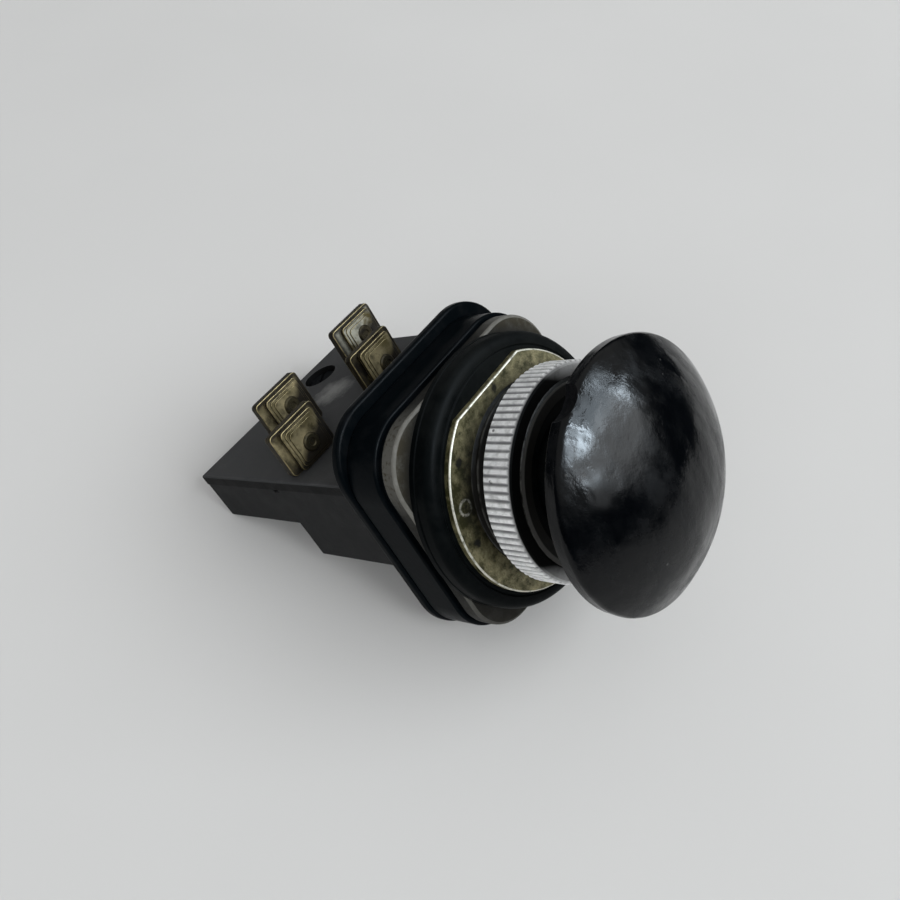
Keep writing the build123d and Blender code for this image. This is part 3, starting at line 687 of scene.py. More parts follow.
def rubber_finish(sizes, name, ring_pitch):
    """Satin black rubber with fine turned rings and a little dust, paler and rougher towards the upper side
    as a painted sheen.
    """
    f = Finish(name, Specular_IOR_Level=0.5, IOR=1.10)
    # Paler towards the upper side: a painted sheen
    dust = f.math("ADD", f.noise(340.0, 6.0, 0.62), f.level(f.rise(), 4.0 * MM, 16.0 * MM, 0.0, 0.25))
    dust = f.level(dust, 0.45, 0.80)
    waves = f.math("SINE", f.math("MULTIPLY", f.radius(), 2 * math.pi / ring_pitch))
    grain = f.math("ADD", f.math("MULTIPLY", waves, 0.2), f.noise(2400.0, 3.0))
    f.bump(grain, 0.02 * MM)
    return f.dress(Base_Color=f.blend(dust, sizes.rubber, sizes.rubber_dust_and_sheen),
                   Roughness=f.level(dust, 0.0, 1.0, 0.40, 0.58))


def zinc_finish(sizes, gasket_radius):
    """Dull cast metal, browner on its face than on its sides, with painted shade towards its lower side and
    in a band round the gasket.
    """
    f = Finish("dull_zinc", Metallic=0.3, Specular_IOR_Level=0.15)
    cloud = f.noise(420.0, 6.0, 0.65)
    stain = f.math("MULTIPLY", f.level(f.facing("Y"), 0.5, 0.9, 0.15, 1.0), f.level(cloud, 0.25, 0.55))
    pits = f.level(f.noise(1500.0, 4.0, 0.6), 0.30, 0.48)
    tone = f.blend(stain, sizes.zinc, sizes.zinc_brown_tarnish_and_shade)
    tone = f.blend(pits, sizes.zinc_brown_tarnish_and_shade, tone)
    # Painted shade: darker towards the lower side
    tone = f.blend(f.level(f.rise(), -12.0 * MM, -24.0 * MM, 0.0, 0.75), tone, sizes.dark_grime_and_shade)
    # Painted shade in a band round the gasket
    shade_and_grime = f.level(f.radius(), gasket_radius, gasket_radius + sizes.gasket_shade_width, 0.92, 0.0)
    tone = f.blend(shade_and_grime, tone, sizes.dark_grime_and_shade)
    f.bump(f.noise(1800.0, 4.0), 0.03 * MM)
    return f.dress(Base_Color=tone, Roughness=f.follow(cloud, 0.46, 0.62))


def zinc_edge_finish(sizes):
    """Rubbed edge of the cast flange, with painted shade towards its lower side."""
    f = Finish("zinc_edge", Specular_IOR_Level=0.08)
    cloud = f.noise(900.0, 5.0, 0.62, (1.0, 3.0, 1.0))
    tone = f.blend(f.level(cloud, 0.46, 0.78, 0.0, 0.45), sizes.zinc, sizes.zinc_rubbed)
    # Painted shade: darker towards the lower side
    tone = f.blend(f.level(f.rise(), -12.0 * MM, -24.0 * MM, 0.0, 0.6), tone, sizes.dark_grime_and_shade)
    return f.dress(Base_Color=tone, Roughness=f.follow(cloud, 0.62, 0.50))


def thread_finish(sizes):
    """Thread darkened by grime and painted shade, with rubbed crests and a thin bright ring round its end."""
    f = Finish("thread_zinc", Metallic=0.25, Specular_IOR_Level=0.12)
    radius = f.radius()
    crest = f.level(radius, sizes.thread - 0.16 * MM, sizes.thread, 0.0, 0.35)
    worn = f.math("MULTIPLY", crest, f.level(f.noise(700.0, 5.0), 0.35, 0.65))
    end = f.math("MULTIPLY", f.level(f.facing("Y"), 0.90, 0.97),
                 f.level(radius, sizes.thread - 0.85 * MM, sizes.thread - 0.65 * MM))
    # The thread's dark base stands for grime and painted shade
    tone = f.blend(worn, sizes.dark_grime_and_shade, sizes.zinc_rubbed)
    tone = f.blend(f.math("MULTIPLY", end, 0.35), tone, sizes.zinc_rubbed)
    return f.dress(Base_Color=tone, Roughness=f.follow(f.noise(900.0), 0.42, 0.60))


def washer_finish(sizes):
    """Yellowed and spotted plating, with grime and painted shade towards the thread and towards -X."""
    f = Finish("worn_zinc", Metallic=0.45, Specular_IOR_Level=0.4)
    cloud = f.noise(520.0, 7.0, 0.70)
    fine = f.noise(2100.0, 5.0, 0.66)
    sideways = f.along("X")
    raised = f.level(f.rise(), -13.0 * MM, -6.0 * MM)
    # Painted shade: more yellow stain towards -X in the upper part
    side = f.math("MULTIPLY", raised, f.level(sideways, -9.0 * MM, -17.0 * MM, 0.0, 0.14))
    clean = f.level(f.math("SUBTRACT", cloud, side), 0.36, 0.62)
    tone = f.blend(clean, sizes.washer_stain, sizes.washer_pale)
    tone = f.blend(f.level(fine, 0.50, 0.70, 0.0, 0.75), tone, sizes.washer_stain)
    radius = f.math("ADD", f.radius(), f.math("MULTIPLY", cloud, 2.0 * MM))
    # A dark band towards the thread, strongest towards -X: grime and painted shade
    inner = f.math("MULTIPLY", f.level(radius, 19.2 * MM, 16.4 * MM), f.level(raised, 0.0, 1.0, 0.35, 1.0))
    shade_and_grime = f.math("MULTIPLY", inner, f.level(sideways, -4.0 * MM, -12.0 * MM, 0.35, 0.9))
    dark = f.math("MAXIMUM", f.level(f.noise(780.0, 4.0, 0.6), 0.62, 0.72, 0.0, 0.8), shade_and_grime)
    for across, height, size in WASHER_STAINS:
        gap = f.near((across * MM, 0.0, height * MM), OFF_AXIS)
        gap = f.math("ADD", gap, f.math("MULTIPLY", fine, 1.6 * MM))
        dark = f.math("MAXIMUM", dark, f.level(gap, (size + 1.0) * MM, (size + 0.5) * MM))
    across, height, size = WASHER_RING_MARK
    gap = f.math("SUBTRACT", f.near((across * MM, 0.0, height * MM), OFF_AXIS), size * MM)
    ring = f.math("MULTIPLY", f.level(f.math("ABSOLUTE", gap), 0.30 * MM, 0.1 * MM),
                  f.level(fine, 0.40, 0.58))
    tone = f.blend(ring, tone, sizes.washer_bright)
    tone = f.blend(f.math("MULTIPLY", dark, 0.93), tone, sizes.dark_grime_and_shade)
    f.bump(fine, 0.05 * MM)
    return f.dress(Base_Color=tone, Roughness=f.follow(cloud, 0.52, 0.40))


def bright_edge_finish(sizes):
    """Rubbed bright edge of the washer."""
    f = Finish("washer_edge", Metallic=0.4)
    cloud = f.noise(900.0, 5.0, 0.6)
    tone = f.blend(f.level(cloud, 0.28, 0.50), sizes.washer_stain, sizes.washer_bright)
    return f.dress(Base_Color=tone, Roughness=f.follow(cloud, 0.54, 0.42))


def nut_finish(sizes, crest):
    """Bright turned metal with painted shade in the roots of its serrations, and small dark nicks."""
    f = Finish("bright_nut", Metallic=0.2, Specular_IOR_Level=0.5)
    cloud = f.noise(650.0, 5.0, 0.6)
    # Painted shade in the roots of the serrations
    root = f.level(f.radius(), crest - sizes.nut_groove_depth, crest - 0.06 * MM, 1.0, 0.0)
    tone = f.blend(f.level(cloud, 0.45, 0.75), sizes.nut_bright, sizes.nut_grey)
    root = f.math("MULTIPLY", root, f.level(f.noise(300.0), 0.25, 0.55, 0.7, 1.0))
    tone = f.blend(root, tone, sizes.nut_root_shade)
    nick = f.math("MULTIPLY", f.specks(430.0, 0.17), f.level(f.noise(160.0), 0.55, 0.62))
    tone = f.blend(f.math("MULTIPLY", nick, 0.9), tone, sizes.dark_grime_and_shade)
    f.bump(f.math("SUBTRACT", f.noise(1500.0, 4.0), nick), 0.05 * MM)
    return f.dress(Base_Color=tone, Roughness=f.follow(cloud, 0.30, 0.46))


def nut_face_finish(sizes, front):
    """Front face of the nut with painted shade, lighter above and below and bare at its rim."""
    f = Finish("nut_face", Specular_IOR_Level=0.5, IOR=1.10)
    cloud = f.noise(650.0, 5.0, 0.6)
    tone = f.blend(f.level(cloud, 0.45, 0.75), sizes.nut_bright, sizes.nut_grey)
    # Painted shade, darkest across the middle and gone on the rim of the chamfer
    shade_and_grime = f.level(f.math("ABSOLUTE", f.rise()), 13.5 * MM, 17.0 * MM, 1.0, 0.35)
    behind = f.math("SUBTRACT", f.along("Y"), front)
    shade_and_grime = f.math("MULTIPLY", shade_and_grime, f.level(behind, sizes.nut_unshaded_rim, sizes.nut_chamfer, 1.0, 0.0))
    return f.dress(Base_Color=f.blend(shade_and_grime, tone, sizes.shade_and_grime),
                   Roughness=f.follow(cloud, 0.45, 0.60))


def body_finish(sizes, name):
    """Moulded black plastic with a soft gloss."""
    f = Finish(name, Specular_IOR_Level=0.5, IOR=1.10)
    dust = f.level(f.noise(300.0, 6.0, 0.64), 0.48, 0.78)
    f.bump(f.noise(1100.0, 4.0, 0.55), 0.02 * MM)
    return f.dress(Base_Color=f.blend(f.math("MULTIPLY", dust, 0.8), sizes.black, sizes.dust),
                   Roughness=f.level(dust, 0.0, 1.0, 0.28, 0.48))


def phenolic_finish(sizes, name, pale_share, painted_side_shade=0.8):
    """Matt grey-black moulding with rubbed places, sides darkened as painted shade, and one scuff on its
    cover.
    """
    f = Finish(name, Specular_IOR_Level=0.5, IOR=1.15)
    cloud = f.noise(190.0, 7.0, 0.66)
    fine = f.noise(1900.0, 4.0, 0.6)
    gap = f.near(tuple(v * MM for v in COVER_SCUFF))
    gap = f.math("ADD", gap, f.math("MULTIPLY", f.noise(520.0, 6.0, 0.7), 6.0 * MM))
    scuff = f.level(gap, 8.0 * MM, 4.0 * MM, 0.0, 0.85)
    rubbed = f.math("MULTIPLY", f.level(cloud, 0.44, 0.72), pale_share)
    tone = f.blend(rubbed, sizes.phenolic, sizes.phenolic_pale)
    tone = f.blend(scuff, tone, sizes.scuff)
    # Painted shade: the sides are darker than the top
    shaded = tuple(painted_side_shade * v for v in sizes.phenolic)
    tone = f.blend(f.level(f.facing("Z"), 0.75, 0.35), tone, shaded)
    f.bump(fine, 0.035 * MM)
    return f.dress(Base_Color=tone, Roughness=f.follow(cloud, 0.50, 0.66))


def bronze_finish(sizes, name, pale_share, seed, screw, rim):
    """Tarnished bronze, paler where it is rubbed, with painted shadow below and to one side of its screw, and
    dark at its rim.
    """
    f = Finish(name, Specular_IOR_Level=0.15)
    cloud = f.noise(240.0 + seed, 4.0, 0.55)
    fine = f.noise(1300.0 + seed, 4.0, 0.6)
    tone = f.blend(f.level(cloud, 0.36, 0.66), sizes.olive, sizes.tan)
    tone = f.blend(f.math("MULTIPLY", f.level(cloud, 0.30, 0.50), pale_share), tone, sizes.pale)
    tone = f.blend(f.level(fine, 0.42, 0.28, 0.0, 0.4), tone, sizes.brown_tarnish_and_shade)
    tone = f.blend(f.level(f.noise(330.0 + seed, 5.0, 0.6), 0.50, 0.66, 0.0, 0.7), tone, sizes.brown_tarnish_and_shade)
    across = f.math("SUBTRACT", f.along("X"), screw.x)
    height = f.along("Z")
    # Painted shadow below the screw and towards its +X side
    shadow_reach = f.math("SUBTRACT", f.math("MULTIPLY", across, 0.55), f.math("SUBTRACT", height, screw.z))
    shadow_reach = f.math("ADD", shadow_reach, f.math("MULTIPLY", cloud, 3.0 * MM))
    dark = f.level(shadow_reach, 0.7 * MM, 2.2 * MM, 0.0, 0.97)
    # A plated piece is dark at both sides, a bare one at its +X side
    side = f.math("ABSOLUTE", across) if pale_share > 0.5 else across
    beside = f.math("SUBTRACT", side, rim.x - screw.x)
    over = f.math("SUBTRACT", height, rim.z)
    over = f.math("ADD", f.math("MAXIMUM", beside, over), f.math("MULTIPLY", fine, 0.6 * MM))
    dark = f.math("MAXIMUM", dark, f.level(over, -0.75 * MM, -0.15 * MM, 0.0, 0.9))
    f.bump(fine, 0.02 * MM)
    return f.dress(Base_Color=f.blend(dark, tone, sizes.brown_tarnish_and_shade),
                   Roughness=f.follow(cloud, 0.36, 0.52),
                   Metallic=f.level(dark, 0.0, 1.0, 0.45, 0.1))


def bronze_wall_shade_finish(sizes):
    """Sides of the bronze plates, painted dark as shade, with some olive tarnish."""
    f = Finish("bronze_wall_shade", Metallic=0.25, Specular_IOR_Level=0.12)
    cloud = f.noise(600.0, 5.0, 0.6, (1.0, 3.0, 0.6))
    tone = f.blend(f.level(cloud, 0.47, 0.80, 0.0, 0.8), sizes.brown_tarnish_and_shade, sizes.olive)
    return f.dress(Base_Color=tone, Roughness=f.follow(cloud, 0.42, 0.58))


def bronze_edge_finish(sizes):
    """Rubbed edges of the bronze plates, painted dark as shade where they face +X and downwards."""
    f = Finish("bronze_edge", Metallic=0.6)
    cloud = f.noise(800.0, 5.0, 0.62)
    normal = f.node("ShaderNodeNewGeometry").outputs["Normal"]
    outwards = f.node("ShaderNodeSeparateXYZ", {0: normal})
    # Painted shade on edges that face +X and downwards
    dark = f.level(f.math("SUBTRACT", outwards.outputs[0], outwards.outputs[2]), -0.25, 0.35)
    tone = f.blend(f.level(cloud, 0.36, 0.60), sizes.olive, sizes.tan)
    tone = f.blend(dark, tone, sizes.brown_tarnish_and_shade)
    return f.dress(Base_Color=tone, Roughness=f.follow(cloud, 0.34, 0.46))


def metal_finish(name, clean, stained, metallic=0.85, low=0.30, high=0.48):
    """Plain metal with stains."""
    f = Finish(name, Metallic=metallic)
    cloud = f.noise(700.0, 6.0, 0.62)
    f.bump(f.noise(2200.0, 3.0), 0.02 * MM)
    return f.dress(Base_Color=f.blend(f.level(cloud, 0.36, 0.66), clean, stained),
                   Roughness=f.follow(cloud, low, high))


def plastic_finish(name, clean, stained, low=0.35, high=0.55, shine=0.5):
    """Plain moulded plastic with a faint mottle."""
    f = Finish(name, Specular_IOR_Level=shine)
    cloud = f.noise(400.0, 6.0, 0.62)
    f.bump(f.noise(1600.0, 3.0), 0.02 * MM)
    return f.dress(Base_Color=f.blend(f.level(cloud, 0.36, 0.68), clean, stained),
                   Roughness=f.follow(cloud, low, high))


# Operators

class PUSHBUTTON_OT_cap(Operator):
    """Turns the mushroom cap and breaks the chip out of its rim."""

    bl_idname = "pushbutton.cap"
    bl_label = "Mushroom cap"

    def execute(self, context):
        cap = context.scene.pushbutton_cap
        low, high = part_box("mushroom_cap")
        apex, boss_rear = low.y, high.y
        rim = boss_rear - cap.boss_overhang
        crease = rim - cap.band
        rim_radius = cap.radius - cap.taper
        roof = crease - cap.roof
        dome_radius = (cap.radius ** 2 + cap.dome ** 2) / (2 * cap.dome)

        bm = bmesh.new()
        inside = chain(bm, (
            (rim_radius, rim),
            (rim_radius - cap.wall, rim),
            (cap.radius - cap.roof_margin, roof),
            (cap.boss, roof),
            (cap.boss, boss_rear),
            (cap.socket, boss_rear),
            (cap.socket, boss_rear - cap.socket_depth),
            (0, boss_rear - cap.socket_depth),
        ))
        crown = bm.verts.new((0, apex, 0))
        edge = arc(bm, crown, (0, apex + dome_radius), math.asin(cap.radius / dome_radius), steps=40)
        bm.edges.new((edge, inside[0]))
        lathe(bm, 2 * ROUND_STEPS)
        bmesh.ops.remove_doubles(bm, verts=bm.verts, dist=MERGE)
        bevel(bm, rings(bm, (cap.radius, edge_place(bm, cap.radius))), cap.crease, segments=6)
        bevel(bm, rings(bm, (rim_radius, rim), (rim_radius - cap.wall, rim)), cap.rim_edge, segments=3)
        piece = to_object(bm, "domed_cap", cap_finish(cap), broken_finish(cap))

        chip_radius = (cap.chip_length ** 2 / 4 + cap.chip_depth ** 2) / (2 * cap.chip_depth)
        reach = cap.radius + chip_radius - cap.chip_depth
        place = Vector((reach * math.cos(cap.chip_angle), rim, reach * math.sin(cap.chip_angle)))
        tool = bmesh.new()
        bmesh.ops.create_icosphere(tool, subdivisions=6, radius=chip_radius, matrix=Matrix.Translation(place))
        for vert in tool.verts:
            outwards = (vert.co - place).normalized()
            vert.co += outwards * noise.noise(vert.co * CHIP_GRAIN_SCALE) * cap.chip_grain
        for face in tool.faces:
            face.material_index = 1
        combine(piece, tool)
        present(piece, "button", "cap_black", "mushroom_cap")
        return {"FINISHED"}


class PUSHBUTTON_OT_nut(Operator):
    """Draws the ring nut's serrated outline and carries it to both chamfers."""

    bl_idname = "pushbutton.nut"
    bl_label = "Ring nut"

    def execute(self, context):
        collar = context.scene.pushbutton_collar
        low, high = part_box("ring_nut")
        inner = collar.thread + collar.fit
        crest = max(high.x, high.z)
        segments = collar.nut_teeth * TOOTH_STEPS
        groove_place = crest + collar.nut_groove - collar.nut_groove_depth

        bm = bmesh.new()
        outline = bmesh.ops.create_circle(bm, segments=segments, radius=crest, matrix=QUARTER_TURN)["verts"]
        pitch = 2 * math.pi * crest / segments
        for index, vert in enumerate(outline):
            offset = (index % TOOTH_STEPS - TOOTH_STEPS / 2) * pitch
            inside = max(collar.nut_groove ** 2 - offset ** 2, 0)
            depth = min(crest, groove_place - math.sqrt(inside)) if inside else crest
            vert.co *= depth / from_axis(vert)
            vert.co.y = high.y - collar.nut_rear_chamfer + crest - depth
        edges = bm.edges[:]

        def carry(edges, radius_of, place_of):
            """Extrudes the outline and sets each new vertex's radius and place."""
            made = bmesh.ops.extrude_edge_only(bm, edges=edges)["geom"]
            for vert in verts_of(made):
                distance = from_axis(vert)
                vert.co.x *= radius_of(distance) / distance
                vert.co.z *= radius_of(distance) / distance
                vert.co.y = place_of(distance)
            return carried_edges(made)

        front_radius = crest - collar.nut_chamfer
        rear_radius = crest - collar.nut_rear_chamfer
        rear = carry(edges, lambda r: min(r, rear_radius), lambda r: high.y)
        rear = carry(rear, lambda r: inner, lambda r: high.y)
        front = carry(edges, lambda r: r, lambda r: low.y + max(r - front_radius, 0))
        front = carry(front, lambda r: min(r, front_radius), lambda r: low.y)
        front = carry(front, lambda r: inner, lambda r: low.y)
        bmesh.ops.bridge_loops(bm, edges=rear + front)
        for face in bm.faces:
            if all(vert.co.y < low.y + collar.nut_chamfer + SAME_PLACE for vert in face.verts):
                face.material_index = 1
        piece = to_object(bm, "serrated_nut", nut_finish(collar, crest), nut_face_finish(collar, low.y))
        present(piece, "nut", "bright_nut", "ring_nut")
        return {"FINISHED"}


class PUSHBUTTON_OT_bushing(Operator):
    """Winds the bushing's thread and makes the square flange behind it."""

    bl_idname = "pushbutton.bushing"
    bl_label = "Threaded bushing and flange"

    def execute(self, context):
        collar = context.scene.pushbutton_collar
        low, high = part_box("threaded_bushing")
        guide_front = collar.flange_thickness - collar.guide_wall
        self.make_sleeve(collar, low.y, guide_front)
        self.make_flange(collar, low, high, guide_front)
        return {"FINISHED"}

    def make_sleeve(self, collar, front, rear):
        """Winds the thread, trims both of its ends and joins them through the bore."""
        root = collar.thread - collar.thread_depth
        pitch = collar.thread_pitch
        turns = math.ceil((rear - front) / pitch) + 2
        start = front - pitch

        bm = bmesh.new()
        chain(bm, [(root + height * collar.thread_depth, start + place * pitch)
                   for place, height in THREAD_PROFILE])
        bmesh.ops.spin(bm, geom=bm.verts[:] + bm.edges[:], cent=(0, 0, 0), axis=AXIS,
                       dvec=(0, pitch / TURN_STEPS, 0), angle=2 * math.pi * turns, steps=TURN_STEPS * turns)
        bmesh.ops.remove_doubles(bm, verts=bm.verts, dist=SAME_PLACE)
        inner_ends = []
        for place, outwards in ((front, -1), (rear, 1)):
            made = bmesh.ops.bisect_plane(bm, geom=bm.verts[:] + bm.edges[:] + bm.faces[:], dist=MERGE,
                                          plane_co=(0, place, 0), plane_no=(0, outwards, 0), clear_outer=True)
            made = bmesh.ops.extrude_edge_only(bm, edges=edges_of(made["geom_cut"]))["geom"]
            for vert in verts_of(made):
                shrink = collar.bore / from_axis(vert)
                vert.co = (vert.co.x * shrink, place, vert.co.z * shrink)
            inner_ends += carried_edges(made)
        bmesh.ops.bridge_loops(bm, edges=inner_ends)
        sleeve = to_object(bm, "threaded_sleeve", thread_finish(collar))
        present(sleeve, "operator", "dull_zinc", "threaded_bushing")

    def make_flange(self, collar, low, high, guide_front):
        """Rounds the square flange and cuts its bore, its guide and the holes for the screws."""
        rear = collar.flange_thickness
        bm = bmesh.new()
        add_slab(bm, (low.x, 0, low.z), (high.x, rear, high.z), collar.flange_corner, collar.flange_edge,
                 corner_steps=16, edge_steps=3, front_only=True)
        gasket_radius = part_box("panel_gasket")[1].x
        flange = to_object(bm, "square_flange", zinc_finish(collar, gasket_radius), zinc_edge_finish(collar))
        holes = bmesh.new()
        add_rod(holes, (0, -MM, 0), (0, guide_front, 0), collar.bore, segments=96)
        combine(flange, holes)
        holes = bmesh.new()
        add_rod(holes, (0, -MM, 0), (0, rear + MM, 0), collar.guide, segments=64)
        for node in ("block_screws", "base_screws"):
            add_screw_holes(holes, *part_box(node), rear + MM, 0)
        combine(flange, holes)
        present(flange, "operator", "dull_zinc", "threaded_bushing")


class PUSHBUTTON_OT_seals(Operator):
    """Turns the rubber gasket and cuts the flatted thrust washer."""

    bl_idname = "pushbutton.seals"
    bl_label = "Gasket and thrust washer"

    def execute(self, context):
        collar = context.scene.pushbutton_collar
        inner = collar.thread + collar.fit
        self.make_gasket(collar, inner)
        self.make_washer(collar, inner)
        return {"FINISHED"}

    def make_gasket(self, collar, inner):
        """Turns the gasket, with a fine groove in its front and one in its side."""
        low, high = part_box("panel_gasket")
        outer = high.x
        edge, groove = collar.gasket_edge, collar.gasket_groove
        valley = outer - collar.gasket_inset
        side_groove = high.y - collar.side_groove

        bm = bmesh.new()
        corner = bm.verts.new((outer, low.y + edge, 0))
        last = arc(bm, corner, (outer - edge, low.y + edge), -math.pi / 2, steps=10)
        ends = chain(bm, (
            (valley + groove, low.y),
            (valley, low.y + groove),
            (valley - groove, low.y),
            (inner, low.y),
            (inner, high.y),
            (outer, high.y),
            (outer, side_groove),
            (outer - groove, side_groove - groove),
            (outer, side_groove - 2 * groove),
        ))
        bm.edges.new((last, ends[0]))
        bm.edges.new((ends[-1], corner))
        lathe(bm)
        rubber = rubber_finish(collar, "gasket_rubber", collar.gasket_ring_pitch)
        gasket = to_object(bm, "rubber_gasket", rubber)
        present(gasket, "operator", "gasket_rubber", "panel_gasket")

    def make_washer(self, collar, inner):
        """Draws the ring with its flat, gives it its thickness and bevels its front edge."""
        low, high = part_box("thrust_washer")
        segments = 2 * ROUND_STEPS
        level = Matrix.Translation((0, high.y, 0)) @ QUARTER_TURN

        bm = bmesh.new()
        outline = bmesh.ops.create_circle(bm, segments=segments, radius=high.x, matrix=level)["verts"]
        for vert in outline:
            vert.co.z = min(vert.co.z, high.z)
        bmesh.ops.create_circle(bm, segments=segments, radius=inner, matrix=level)
        ring = bmesh.ops.bridge_loops(bm, edges=bm.edges[:])["faces"]
        raised = bmesh.ops.extrude_face_region(bm, geom=ring)["geom"]
        bmesh.ops.translate(bm, verts=verts_of(raised), vec=(0, low.y - high.y, 0))
        bmesh.ops.recalc_face_normals(bm, faces=bm.faces)

        def on_rim(vert):
            """Whether a vertex lies on the outer edge of the front."""
            return abs(vert.co.y - low.y) < MERGE and from_axis(vert) > (inner + high.z) / 2

        rims = [e for e in bm.edges if all(on_rim(v) for v in e.verts)
                and any(abs(f.normal.y) < 0.5 for f in e.link_faces)]
        for face in bevel(bm, rims, collar.washer_edge, segments=3):
            face.material_index = 1
        washer = to_object(bm, "flat_washer", washer_finish(collar), bright_edge_finish(collar))
        present(washer, "operator", "worn_zinc", "thrust_washer")


class PUSHBUTTON_OT_body(Operator):
    """Moulds the square body behind the flange."""

    bl_idname = "pushbutton.body"
    bl_label = "Square body"

    def execute(self, context):
        block = context.scene.pushbutton_block
        low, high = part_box("rear_body")
        bm = bmesh.new()
        shoulder = Vector((low.x, low.y + block.step_depth, low.z))
        add_slab(bm, shoulder, high, block.body_corner, block.shoulder_edge, corner_steps=18, edge_steps=4)
        # Both slots hold the same black, because a slab's rims take the second one
        black = body_finish(block, "body_black")
        piece = to_object(bm, "square_body", black, black)
        neck = bmesh.new()
        inset = Vector((block.seam_depth, 0, block.seam_depth))
        neck_rear = Vector((high.x, shoulder.y + MM, high.z))
        add_slab(neck, low + inset, neck_rear - inset, block.body_corner - block.seam_depth, block.neck_edge,
                 corner_steps=18, edge_steps=1)
        combine(piece, neck, "UNION")
        holes = bmesh.new()
        add_rod(holes, (0, low.y - MM, 0), (0, high.y + MM, 0), block.pocket, segments=96)
        for node in ("block_screws", "base_screws"):
            add_screw_holes(holes, *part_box(node), high.y + MM, block.block_screw_gap)
        add_box(holes, (low.x - block.step_reach, low.y - MM, block.step_bottom),
                (low.x + block.step_reach, low.y + block.step_depth, block.step_top))
        combine(piece, holes)
        present(piece, "operator", "body_black", "rear_body")
        return {"FINISHED"}


class PUSHBUTTON_OT_housing(Operator):
    """Moulds the contact block's housing: a square lip and a stepped box."""

    bl_idname = "pushbutton.housing"
    bl_label = "Contact block housing"

    def execute(self, context):
        block = context.scene.pushbutton_block
        low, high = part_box("block_housing")
        cover_low, cover_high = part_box("block_cover")
        seat = cover_low.z
        lip_rear = low.y + block.lip_thickness
        step = lip_rear + block.front_length

        # The deep part behind the lip, from whose rear the shallow part is drawn out
        bm = bmesh.new()
        add_box(bm, (cover_low.x, lip_rear - MM, block.front_bottom), (cover_high.x, step, seat))
        bmesh.ops.bisect_plane(bm, geom=bm.verts[:] + bm.edges[:] + bm.faces[:], dist=MERGE,
                               plane_co=(0, 0, block.rear_bottom), plane_no=(0, 0, 1))
        bmesh.ops.recalc_face_normals(bm, faces=bm.faces)
        rear = next(f for f in bm.faces if f.normal.y > 0.5 and f.calc_center_median().z > block.rear_bottom)
        made = bmesh.ops.extrude_face_region(bm, geom=[rear])["geom"]
        bmesh.ops.delete(bm, geom=[rear], context="FACES_ONLY")
        bmesh.ops.translate(bm, verts=verts_of(made), vec=(0, high.y - step, 0))
        bmesh.ops.dissolve_limit(bm, angle_limit=math.radians(1), verts=bm.verts, edges=bm.edges)
        bmesh.ops.recalc_face_normals(bm, faces=bm.faces)
        sharp = [e for e in bm.edges if e.calc_face_angle(0) > 0.5
                 and max(v.co.y for v in e.verts) > lip_rear and min(v.co.z for v in e.verts) < seat - MM]
        for face in bevel(bm, sharp, block.block_edge, segments=3):
            face.material_index = 1
        # The housing's sides are darkened as painted shade
        piece = to_object(bm, "contact_housing",
                          phenolic_finish(block, "block_phenolic", pale_share=0.35, painted_side_shade=0.36),
                          phenolic_finish(block, "block_edge", pale_share=0.8),
                          body_finish(block, "lip_black"))
        lip = bmesh.new()
        add_slab(lip, low, (high.x, lip_rear, high.z), block.lip_corner, block.lip_edge,
                 corner_steps=18, edge_steps=4)
        for face in lip.faces:
            face.material_index = 2
        combine(piece, lip, "UNION")

        # Room for the contacts, then the trough, the holes and the notch
        cuts = bmesh.new()
        front = lip_rear + block.front_wall
        half = cover_high.x - block.side_wall
        floor = block.rear_bottom + block.floor_wall
        add_box(cuts, (-half, front, floor), (half, front + block.cavity_length, seat + MM))
        combine(piece, cuts)
        cuts = bmesh.new()
        width = block.trough_width / 2
        add_box(cuts, (-width, front, block.trough_floor), (width, front + block.trough_length, floor + MM))
        cover_screw_low, cover_screw_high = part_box("cover_screw")
        screw_x = (cover_screw_low.x + cover_screw_high.x) / 2
        screw_y = (cover_screw_low.y + cover_screw_high.y) / 2
        add_rod(cuts, (screw_x, screw_y, cover_screw_low.z), (screw_x, screw_y, seat + MM),
                block.cover_screw_pilot, HOLE_STEPS)
        rear_wall = front + block.cavity_length
        add_rod(cuts, (0, rear_wall - MM, block.contact_height),
                (0, rear_wall + block.tail_hole_depth, block.contact_height), block.tail_hole)
        notch_y = lip_rear + block.notch_place
        notch = block.notch_depth
        add_box(cuts, (cover_low.x - notch, notch_y - block.notch_width / 2, seat - notch),
                (cover_low.x + notch, notch_y + block.notch_width / 2, seat + notch))
        add_screw_holes(cuts, *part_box("block_screws"), step + MM, block.block_screw_gap)
        combine(piece, cuts)
        cuts = bmesh.new()
        add_rod(cuts, (0, low.y - MM, block.nose_height), (0, front + MM, block.nose_height), block.nose_hole)
        add_screw_holes(cuts, *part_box("base_screws"), lip_rear + MM, block.block_screw_gap)
        combine(piece, cuts)
        present(piece, "operator", "block_phenolic", "block_housing")
        return {"FINISHED"}


